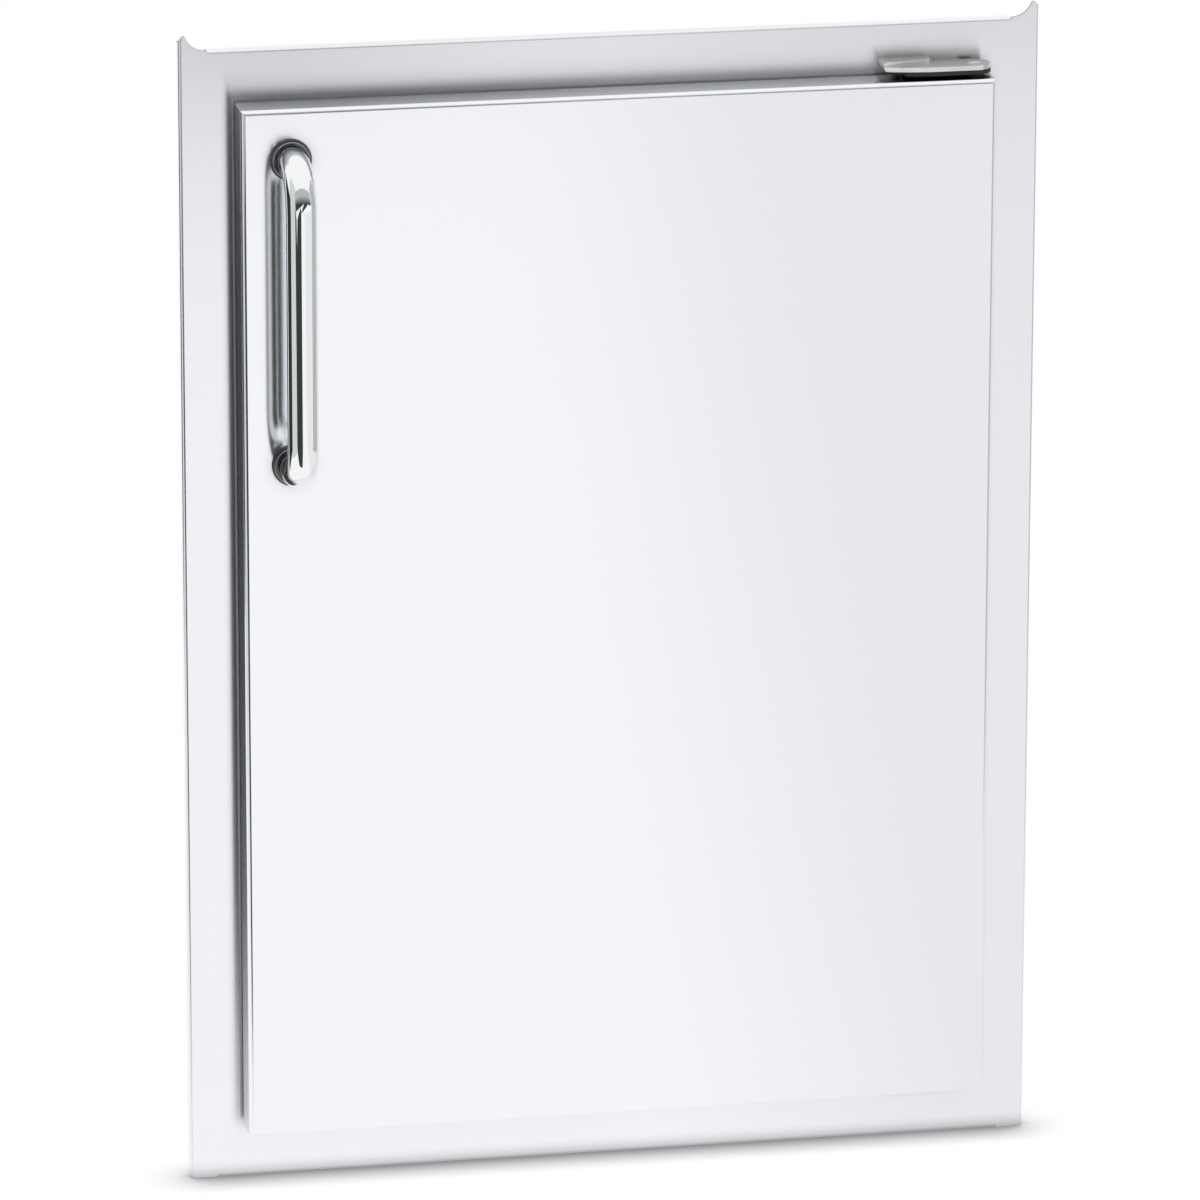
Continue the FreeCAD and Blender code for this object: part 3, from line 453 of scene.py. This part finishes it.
def even_normals(piece):
    """Lets wide flat faces keep their own normals beside narrow bends."""
    modifier = piece.modifiers.new("Even Normals", "WEIGHTED_NORMAL")
    modifier.keep_sharp = True
    modifier.weight = 100


def loop_edges(verts):
    """The edges that join the given vertices."""
    chosen = set(verts)
    joined = dict.fromkeys(edge for vert in verts for edge in vert.link_edges)
    return [edge for edge in joined if chosen.issuperset(edge.verts)]


def corner_loop(bm, half_x, half_z, radius, y, steps):
    """A loop round a rectangle with round corners, in a plane facing the front."""
    step = pi / (4 * steps)
    upright = Matrix.Rotation(pi / 2, 4, "X") @ Matrix.Rotation(step, 4, "Z")
    verts = bmesh.ops.create_circle(
        bm, segments=4 * steps, radius=radius / cos(step),
        matrix=Matrix.Translation((0, y, 0)) @ upright)["verts"]
    edges = loop_edges(verts)
    for vert in verts:
        vert.co.x += (half_x - radius) * (1 if vert.co.x > 0 else -1)
        vert.co.z += (half_z - radius) * (1 if vert.co.z > 0 else -1)
    return edges


def corner_fit(value, old_half, old_radius, half, radius):
    """A vertex's coordinate on the next ring, from its value on the ring before."""
    sign = 1 if value > 0 else -1
    return sign * (half - radius) + (value - sign * (old_half - old_radius)) * radius / old_radius


def ring_stack(bm, rings, steps, capped=True):
    """A skin from a loop that is extruded from ring to ring; returns the first ring's edges.

    A ring is (half width, half height, corner radius, depth)."""
    first = corner_loop(bm, *rings[0], steps)
    edges = first
    for (old_x, old_z, old_radius, _), (half_x, half_z, radius, y) in zip(rings, rings[1:]):
        made = bmesh.ops.extrude_edge_only(bm, edges=edges)["geom"]
        edges = edges_in(made)
        for vert in verts_in(made):
            vert.co = (corner_fit(vert.co.x, old_x, old_radius, half_x, radius), y,
                       corner_fit(vert.co.z, old_z, old_radius, half_z, radius))
    if capped:
        bmesh.ops.contextual_create(bm, geom=first)
        bmesh.ops.contextual_create(bm, geom=edges)
    return first


def bend(start, centre, turn, steps=6):
    """Points on a bend in the (inset, depth) plane: the start, turned round a centre."""
    dx = start[0] - centre[0]
    dy = start[1] - centre[1]
    points = []
    for i in range(steps + 1):
        angle = turn * i / steps
        points.append((centre[0] + dx * cos(angle) - dy * sin(angle),
                       centre[1] + dx * sin(angle) + dy * cos(angle)))
    return points


def push_edge(bm, edges, moves):
    """Extrudes edges again and again, moving the new row by each step."""
    for move in moves:
        made = bmesh.ops.extrude_edge_only(bm, edges=edges)["geom"]
        edges = edges_in(made)
        bmesh.ops.translate(bm, verts=verts_in(made), vec=move)
    return edges


def spun(bm, profile, place, axis, steps):
    """A closed profile of (radius, height) pairs, spun round an axis through a place."""
    axis = Vector(axis).normalized()
    side = axis.orthogonal().normalized()
    verts = [bm.verts.new(Vector(place) + side * r + axis * h) for r, h in profile]
    edges = [bm.edges.new((a, b)) for a, b in zip(verts, verts[1:])]
    bmesh.ops.spin(bm, geom=verts + edges, cent=place, axis=axis, angle=2 * pi, steps=steps,
                   use_merge=True)
    bmesh.ops.remove_doubles(bm, verts=bm.verts, dist=1e-7)
    bmesh.ops.recalc_face_normals(bm, faces=bm.faces)


# Face frame

def ear_top(settings, x, flat_top, side, start):
    """Height of the flange's edge at a distance from the middle."""
    if x <= start:
        return flat_top
    tip_start = side - settings.ear_tip
    if x <= tip_start:
        across = min(x - start, settings.ear_hollow)
        return flat_top + settings.ear_hollow - sqrt(settings.ear_hollow ** 2 - across ** 2)
    down = settings.ear_tip - sqrt(max(settings.ear_tip ** 2 - (x - tip_start) ** 2, 0.0))
    return flat_top + settings.ear_rise - down


class DOOR_OT_face_frame(bpy.types.Operator):
    """Makes the brushed face frame with bent edges, corner ears and opening return"""
    bl_idname = "access_door.face_frame"
    bl_label = "Face Frame"

    def execute(self, context):
        settings = context.scene.access_door.frame
        low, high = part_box("face_flange")
        side = high[0]
        front = low[1]
        bottom = low[2]
        top = high[2] - settings.ear_rise
        run = sqrt(settings.ear_hollow ** 2 - (settings.ear_hollow - settings.ear_rise) ** 2)
        start = side - settings.ear_tip - run
        bm = bmesh.new()
        self.centre(bm, settings, front, bottom, top, start)
        self.edge(bm, settings, front, bottom, top, side, start)
        piece = piece_from(bm, "brushed_face_frame", "face_flange", 50.0)
        solid = piece.modifiers.new("Sheet", "SOLIDIFY")
        solid.thickness = settings.sheet
        solid.offset = -1.0
        solid.use_even_offset = True
        solid.use_quality_normals = True
        piece.data.materials.append(finishes["cut_edge"])
        solid.material_offset_rim = 1
        edge = piece.modifiers.new("Edge", "BEVEL")
        edge.width = 0.3 * MM
        edge.segments = 2
        edge.limit_method = "ANGLE"
        edge.angle_limit = radians(60)
        even_normals(piece)
        return {"FINISHED"}

    def centre(self, bm, settings, front, bottom, top, start):
        """Flat middle, its opening with a return, and the bends along the top and bottom."""
        radius = settings.bend_radius
        half_x = settings.opening_width / 2
        half_z = settings.opening_height / 2
        corner = 4 * MM
        bow = bend((0.0, 0.0), (0.0, radius), pi / 2)
        rings = [(half_x + radius - x, half_z + radius - x, corner + radius - x, front + y)
                 for x, y in bow]
        rings.append((half_x, half_z, corner, front + settings.opening_return))
        rim = ring_stack(bm, rings, 8, False)
        low = bottom + radius
        high = top - radius
        corners = [bm.verts.new((x, front, z)) for x, z in (
            (-start, low), (start, low), (start, high), (-start, high))]
        outline = [bm.edges.new((corners[i], corners[(i + 1) % 4])) for i in range(4)]
        bmesh.ops.triangle_fill(bm, use_beauty=True, edges=outline + rim, normal=(0, -1, 0))
        upper = [Vector((0, b[1] - a[1], b[0] - a[0])) for a, b in zip(bow, bow[1:])]
        upper.append(Vector((0, -front - radius, 0)))
        lower = [Vector((0, move.y, -move.z)) for move in upper]
        push_edge(bm, [outline[2]], upper)
        push_edge(bm, [outline[0]], lower)
        bmesh.ops.recalc_face_normals(bm, faces=bm.faces)
        flat = max(bm.faces, key=lambda face: face.calc_area())
        if flat.normal.y > 0:
            bmesh.ops.reverse_faces(bm, faces=bm.faces)

    def edge(self, bm, settings, front, bottom, top, side, start):
        """Strips on both sides, bent back to the wall, with the ears on top."""
        radius = settings.bend_radius
        tip = side - settings.ear_tip
        low_corner = settings.low_corner
        ear_steps = 16
        tip_steps = 5
        bow = bend((0.0, 0.0), (radius, 0.0), -pi / 2, 10)
        columns = [(start + (tip - start) * i / ear_steps, front) for i in range(ear_steps + 1)]
        columns += [(tip + (side - radius - tip) * i / tip_steps, front)
                    for i in range(1, tip_steps)]
        columns += [(side - radius + x, front + y) for y, x in bow]
        columns.append((side, 0.0))

        def rows(x, y):
            """The two middle rows meet the corners of the flat middle, so the sheet has no seam."""
            turned = max(x - (side - low_corner), 0.0)
            low = bottom + low_corner - sqrt(max(low_corner ** 2 - turned ** 2, 0.0))
            heights = (low, max(bottom + radius, low + 0.5 * MM), top - radius,
                       ear_top(settings, x, top, side, start))
            return [Vector((x, y, z)) for z in heights]

        before = set(bm.faces)
        row = [bm.verts.new(point) for point in rows(*columns[0])]
        edges = [bm.edges.new(pair) for pair in zip(row, row[1:])]
        for column in columns[1:]:
            made = bmesh.ops.extrude_edge_only(bm, edges=edges)["geom"]
            edges = edges_in(made)
            upwards = sorted(verts_in(made), key=lambda vert: vert.co.z)
            for vert, place in zip(upwards, rows(*column)):
                vert.co = place
        strip = [face for face in bm.faces if face not in before]
        bmesh.ops.recalc_face_normals(bm, faces=strip)
        if strip[0].normal.y > 0:
            bmesh.ops.reverse_faces(bm, faces=strip)
        copy = bmesh.ops.duplicate(bm, geom=strip)["geom"]
        faces = [item for item in copy if isinstance(item, bmesh.types.BMFace)]
        bmesh.ops.scale(bm, verts=verts_in(copy), vec=(-1, 1, 1))
        bmesh.ops.reverse_faces(bm, faces=faces)


# Door

class DOOR_OT_door_pan(bpy.types.Operator):
    """Makes the satin outer pan of the door with its rounded bends"""
    bl_idname = "access_door.door_pan"
    bl_label = "Door Pan"

    def execute(self, context):
        settings = context.scene.access_door.door
        low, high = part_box("door_skin")
        half_x = (high[0] - low[0]) / 2
        half_z = (high[2] - low[2]) / 2
        outer = settings.bend_radius
        rear = settings.back_radius
        sheet = settings.sheet
        section = [(x, low[1] + y) for x, y in bend((outer, 0.0), (outer, outer), -pi / 2, 8)]
        section += [(x, high[1] + y) for x, y in bend((0.0, -rear), (rear, -rear), -pi / 2, 8)]
        section.append((settings.lip, high[1]))
        section.append((settings.lip, high[1] - sheet))
        section.append((rear, high[1] - sheet))
        section.append((sheet, high[1] - rear))
        section.append((sheet, low[1] + outer))
        section.append((outer, low[1] + sheet))
        tightest = 0.3 * MM
        rings = [(half_x - x, half_z - x, max(settings.corner_radius - x, tightest), y)
                 for x, y in section]
        bm = bmesh.new()
        ring_stack(bm, rings, 3)
        bmesh.ops.recalc_face_normals(bm, faces=bm.faces)
        even_normals(piece_from(bm, "door_pan", "door_skin", 50.0))
        return {"FINISHED"}


class DOOR_OT_door_liner(bpy.types.Operator):
    """Makes the inner panel of the door with its pressed recess"""
    bl_idname = "access_door.door_liner"
    bl_label = "Door Liner"

    def execute(self, context):
        settings = context.scene.access_door.door
        low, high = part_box("door_liner")
        half_x = high[0]
        half_z = high[2]
        back = high[1]
        face = back - settings.sheet
        border = settings.liner_border
        deep = settings.liner_recess
        soft = 1.5 * MM
        edge = 0.3 * MM
        outer_corner = 2 * MM
        corner = settings.recess_corner
        section = [
            (border + deep + soft, back - deep, corner - deep - soft),
            (border + deep, back - deep + 0.3 * soft, corner - deep),
            (border + deep - 0.7 * soft, back - deep + soft, corner - deep + 0.7 * soft),
            (border + 0.7 * soft, back - soft, corner - 0.7 * soft),
            (border, back - 0.3 * soft, corner),
            (border - soft, back, corner + soft),
            (edge, back, 1.8 * MM),
            (0.0, back - edge, outer_corner),
            (0.0, face, outer_corner),
            (border - soft, face, corner + soft),
            (border + deep - soft, face - deep, corner - deep + soft),
            (border + deep + soft, face - deep, corner - deep - soft),
        ]
        bm = bmesh.new()
        ring_stack(bm, [(half_x - x, half_z - x, r, y) for x, y, r in section], 10)
        bmesh.ops.recalc_face_normals(bm, faces=bm.faces)
        even_normals(piece_from(bm, "pressed_liner", "door_liner", 40.0))
        return {"FINISHED"}


# Handle

class DOOR_OT_handle(bpy.types.Operator):
    """Makes the polished D handle and the stepped black rings at its feet"""
    bl_idname = "access_door.handle"
    bl_label = "Handle"

    def execute(self, context):
        settings = context.scene.access_door.handle
        low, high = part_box("handle_bar")
        radius = settings.tube_radius
        x = (low[0] + high[0]) / 2
        feet = high[1]
        grip = low[1] + radius
        upper = high[2] - radius
        lower = low[2] + radius
        turn = settings.bend_radius
        bm = bmesh.new()
        for tube in (radius, radius - settings.tube_wall):
            at = Matrix.Translation((x, feet, upper)) @ Matrix.Rotation(pi / 2, 4, "X")
            circle = bmesh.ops.create_circle(bm, segments=settings.sides, radius=tube, matrix=at)
            edges = loop_edges(circle["verts"])
            foot = Vector((0, grip + turn - feet, 0))
            edges = push_edge(bm, edges, [foot])
            edges = self.turn_edges(bm, edges, (x, grip + turn, upper - turn))
            edges = push_edge(bm, edges, [Vector((0, 0, lower + 2 * turn - upper))])
            edges = self.turn_edges(bm, edges, (x, grip + turn, lower + turn))
            push_edge(bm, edges, [-foot])
        rims = [edge for edge in bm.edges if edge.is_boundary]
        for z in (upper, lower):
            foot_rims = [edge for edge in rims if abs(edge.verts[0].co.z - z) < 2 * radius]
            bmesh.ops.bridge_loops(bm, edges=foot_rims)
        bmesh.ops.recalc_face_normals(bm, faces=bm.faces)
        piece_from(bm, "polished_handle", "handle_bar", 60.0)
        for name in ("upper_handle_bezel", "lower_handle_bezel"):
            self.bezel(name)
        return {"FINISHED"}

    def turn_edges(self, bm, edges, centre):
        """A quarter bend of the tube."""
        made = bmesh.ops.spin(bm, geom=edges, cent=centre, axis=(1, 0, 0), angle=pi / 2, steps=24)
        return edges_in(made["geom_last"])

    def bezel(self, node):
        """A stepped black ring; its inner step's rounded edge gets a lighter polished metal, a
        painted highlight.
        """
        low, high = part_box(node)
        outer = (high[0] - low[0]) / 2
        height = high[1] - low[1]
        place = ((low[0] + high[0]) / 2, high[1], (low[2] + high[2]) / 2)
        step = 1.25 * MM
        flange = 1.7 * MM
        bore = 9.05 * MM
        soft = 0.6 * MM
        inner = outer - step
        angles = [pi / 2 * i / 5 for i in range(1, 6)]

        def rounded(side, top):
            """Points on the round edge between a side and a top."""
            return [(side - soft + soft * cos(a), top - soft + soft * sin(a)) for a in angles]

        profile = [(bore, 0), (outer, 0), (outer, flange - soft), *rounded(outer, flange)]
        profile += [(inner, flange), (inner, height - soft), *rounded(inner, height)]
        profile += [(bore, height), (bore, 0)]
        bm = bmesh.new()
        spun(bm, profile, place, (0, -1, 0), 64)
        for face in bm.faces:
            middle = face.calc_center_median() - Vector(place)
            out = Vector((middle.x, middle.z)).length
            # painted highlight: the inner step's rounded edge takes the lighter bezel_edge metal
            face.material_index = int(-middle.y > height - soft and out > inner - soft)
        ring = piece_from(bm, "black_" + node, node, 35.0)
        ring.data.materials.append(finishes["bezel_edge"])


# Small pieces take their shape from the CAD and get soft edges

class DOOR_OT_small_parts(bpy.types.Operator):
    """Softens the edges of the hinges, catches, sleeve and small fittings"""
    bl_idname = "access_door.small_parts"
    bl_label = "Small Parts"

    softness = {
        "left_jamb": 0.25, "right_jamb": 0.25, "head_jamb": 0.25, "sill_jamb": 0.25,
        "upper_hinge_bracket": 0.35, "lower_hinge_bracket": 0.25,
        "upper_hinge_pad": 0.3, "lower_hinge_pad": 0.1,
        "upper_hinge_pin": 0.12, "lower_hinge_pin": 0.12,
        "upper_hinge_bushing": 0.12, "lower_hinge_bushing": 0.12,
        "upper_catch_housing": 0.3, "lower_catch_housing": 0.3,
        "catch_pole_plates": 0.15, "catch_screws": 0.1, "strike_plates": 0.2, "strike_screws": 0.08,
        "handle_access_plugs": 0.1, "door_bumpers": 0.08,
    }

    def execute(self, context):
        flat_below = radians(0.5)
        sharp_above = radians(40)
        for node, softness in self.softness.items():
            bm = bmesh.new()
            bm.from_mesh(frame["nodes"][node].data)
            bmesh.ops.remove_doubles(bm, verts=bm.verts, dist=1e-6)
            bmesh.ops.dissolve_limit(bm, angle_limit=flat_below, verts=bm.verts, edges=bm.edges)
            whole = [edge for edge in bm.edges if edge.is_manifold]
            sharp = [edge for edge in whole if edge.calc_face_angle(0.0) > sharp_above]
            bmesh.ops.bevel(bm, geom=sharp, offset=softness * MM, offset_type="OFFSET", segments=2,
                            profile=0.5, affect="EDGES", material=-1, clamp_overlap=True)
            even_normals(piece_from(bm, "soft_" + node, node, 40.0))
        return {"FINISHED"}


class DOOR_OT_hidden_parts(bpy.types.Operator):
    """Gives the pieces from the CAD their materials; the hidden ones keep their shapes"""
    bl_idname = "access_door.hidden_parts"
    bl_label = "Hidden Parts"

    def execute(self, context):
        for node, piece in frame["nodes"].items():
            piece.data.materials.clear()
            piece.data.materials.append(finishes[slot_of[node]])
        return {"FINISHED"}


# Stage

class DOOR_OT_stage(bpy.types.Operator):
    """Sets up the camera, the floor, the light from all round and the dark studio flags"""
    bl_idname = "access_door.stage"
    bl_label = "Stage"

    def execute(self, context):
        settings = context.scene.access_door.stage
        context.scene.view_settings.view_transform = "Standard"
        self.camera(context.scene, settings)
        self.sky(context.scene, settings)
        self.floor(settings)
        self.flags()
        return {"FINISHED"}

    def camera(self, scene, settings):
        data = bpy.data.cameras.new("view")
        data.lens = settings.lens
        data.sensor_width = 36.0
        data.clip_end = 100.0
        az = settings.azimuth
        el = settings.elevation
        back = Vector((-sin(az) * cos(el), -cos(az) * cos(el), sin(el)))
        right = Vector((cos(az), -sin(az), 0))
        up = back.cross(right)
        turned = Matrix((right, up, back)).transposed() @ Matrix.Rotation(settings.roll, 3, "Z")
        camera = bpy.data.objects.new("view", data)
        place = Vector(settings.target) + back * settings.distance
        camera.matrix_world = Matrix.Translation(place) @ turned.to_4x4()
        scene.collection.objects.link(camera)
        scene.camera = camera

    def sky(self, scene, settings):
        """Even light, with plain white for what the camera and the metal see."""
        studio = Finish("studio", "World")
        white = (1.0, 1.0, 1.0)
        light = studio.node("ShaderNodeBackground", {}, {"Color": white, "Strength": settings.sky})
        plain = studio.node("ShaderNodeBackground", {}, {"Color": white, "Strength": 1.0})
        path = studio.node("ShaderNodeLightPath")
        seen = studio.node("ShaderNodeMath", {"operation": "MAXIMUM"}, {
            0: path.outputs["Is Camera Ray"], 1: path.outputs["Is Glossy Ray"]})
        scene.world = studio.close(studio.node("ShaderNodeMixShader", {}, {
            0: seen.outputs[0], 1: light.outputs[0], 2: plain.outputs[0]}))

    def floor(self, settings):
        """White floor with a painted shadow, a soft dark line where the object stands, in what the
        camera sees; a little darker to the right in what the metal mirrors."""
        finish = Finish("studio_floor")
        path = finish.node("ShaderNodeLightPath")
        # painted shadow: Ambient Occlusion darkens the floor's emission for the camera
        shade = finish.openness(settings.painted_shadow_reach, 16)
        seen = finish.node("ShaderNodeEmission", {}, {
            "Color": finish.ramp(shade, [(0.5, 0.28), (1.0, 1.0)]), "Strength": 1.0})
        aside = finish.along("X") + finish.along("Y") * 0.15
        mirrored = finish.node("ShaderNodeEmission", {}, {
            "Color": finish.ramp(aside, [(0.03, 1.0), (0.22, 0.88)]), "Strength": 1.0})
        lit = finish.node("ShaderNodeBsdfDiffuse", {}, {"Color": settings.floor_colour})
        glossy = finish.node("ShaderNodeMixShader", {}, {
            0: path.outputs["Is Glossy Ray"], 1: lit.outputs[0], 2: mirrored.outputs[0]})
        finish.close(finish.node("ShaderNodeMixShader", {}, {
            0: path.outputs["Is Camera Ray"], 1: glossy.outputs[0], 2: seen.outputs[0]}))
        bm = bmesh.new()
        bmesh.ops.create_grid(bm, x_segments=1, y_segments=1, size=15.0,
                              matrix=Matrix.Translation((0, 0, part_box("face_flange")[0][2])))
        self.stage_object(bm, "studio_floor", finish.block)

    def flags(self):
        """Cards that only reflections show: the unlit parts of the studio.

        A card has a colour below and one above, which blend between two heights."""
        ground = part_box("face_flange")[0][2]
        dark = (0.045, 0.048, 0.046)
        darkest = (0.032, 0.036, 0.033)
        pale = (0.68, 0.70, 0.70)
        grey = (0.50, 0.51, 0.52)
        blend_low = 0.36
        blend_high = 0.48

        def facing(y, outline):
            """Corners of a card towards the front, from (across, height) pairs."""
            return [(x, y, z) for x, z in outline]

        def standing(start, end, low, high):
            """Corners of an upright card between two places on the ground."""
            return [(*start, low), (*end, low), (*end, high), (*start, high)]

        cards = (
            ("flag_near_left", dark, dark, facing(-0.30, (
                (-0.41, ground), (-0.24, ground), (-0.238, 0.26),
                (-0.25, 0.31), (-0.56, 0.31), (-0.41, 0.17)))),
            ("flag_front", dark, (0.50, 0.515, 0.50), facing(-0.38, (
                (-0.58, 0.25), (-0.27, 0.25), (-0.215, 0.34), (-0.13, 0.366), (0.07, 0.356),
                (0.21, 0.344), (0.50, 0.344), (0.50, 0.62), (-0.72, 0.62)))),
            ("flag_behind_left", darkest, darkest,
             standing((-0.38, 0.11), (-0.70, -0.035), -0.06, 0.33)),
            ("flag_left", pale, pale,
             standing((-1.00, 0.10), (-0.90, -0.75), ground, 0.9)),
            ("flag_right", grey, grey,
             standing((0.85, -0.45), (1.00, 0.25), ground, 0.9)),
        )
        for name, low_colour, high_colour, corners in cards:
            finish = Finish(name)
            shade = finish.mix(finish.between("Z", blend_low, blend_high), low_colour, high_colour)
            finish.close(finish.node("ShaderNodeEmission", {}, {"Color": shade, "Strength": 1.0}))
            bm = bmesh.new()
            bmesh.ops.contextual_create(bm, geom=[bm.verts.new(corner) for corner in corners])
            card = self.stage_object(bm, name, finish.block)
            card.visible_camera = False
            card.visible_diffuse = False
            card.visible_shadow = False

    def stage_object(self, bm, name, material):
        mesh = bpy.data.meshes.new(name)
        bm.to_mesh(mesh)
        bm.free()
        mesh.materials.append(material)
        piece = bpy.data.objects.new(name, mesh)
        bpy.context.scene.collection.objects.link(piece)
        return piece


class DoorSceneSettings(bpy.types.PropertyGroup):
    frame: PointerProperty(type=FrameSettings)
    door: PointerProperty(type=DoorSettings)
    handle: PointerProperty(type=HandleSettings)
    stage: PointerProperty(type=StageSettings)


class DOOR_PT_panel(bpy.types.Panel):
    """Lists the sizes, the colours and the steps of the access door"""
    bl_idname = "DOOR_PT_panel"
    bl_label = "Access Door"
    bl_space_type = "VIEW_3D"
    bl_region_type = "UI"
    bl_category = "Access Door"

    def draw(self, context):
        settings = context.scene.access_door
        for group in (settings.frame, settings.door, settings.handle, settings.stage):
            box = self.layout.box()
            for name in group.__annotations__:
                box.prop(group, name)
        for operator in OPERATORS:
            self.layout.operator(operator.bl_idname)


OPERATORS = (
    DOOR_OT_hidden_parts,
    DOOR_OT_face_frame,
    DOOR_OT_door_pan,
    DOOR_OT_door_liner,
    DOOR_OT_handle,
    DOOR_OT_small_parts,
    DOOR_OT_stage,
)
GROUPS = (FrameSettings, DoorSettings, HandleSettings, StageSettings, DoorSceneSettings)


def register():
    for cls in GROUPS + OPERATORS + (DOOR_PT_panel,):
        bpy.utils.register_class(cls)
    bpy.types.Scene.access_door = PointerProperty(type=DoorSceneSettings)


def unregister():
    del bpy.types.Scene.access_door
    for cls in reversed(GROUPS + OPERATORS + (DOOR_PT_panel,)):
        bpy.utils.unregister_class(cls)


def main():
    register()
    finishes.update(make_finishes(bpy.context.scene.access_door))
    bpy.ops.access_door.hidden_parts()
    bpy.ops.access_door.face_frame()
    bpy.ops.access_door.door_pan()
    bpy.ops.access_door.door_liner()
    bpy.ops.access_door.handle()
    bpy.ops.access_door.small_parts()
    bpy.ops.access_door.stage()


if __name__ == "__main__":
    main()
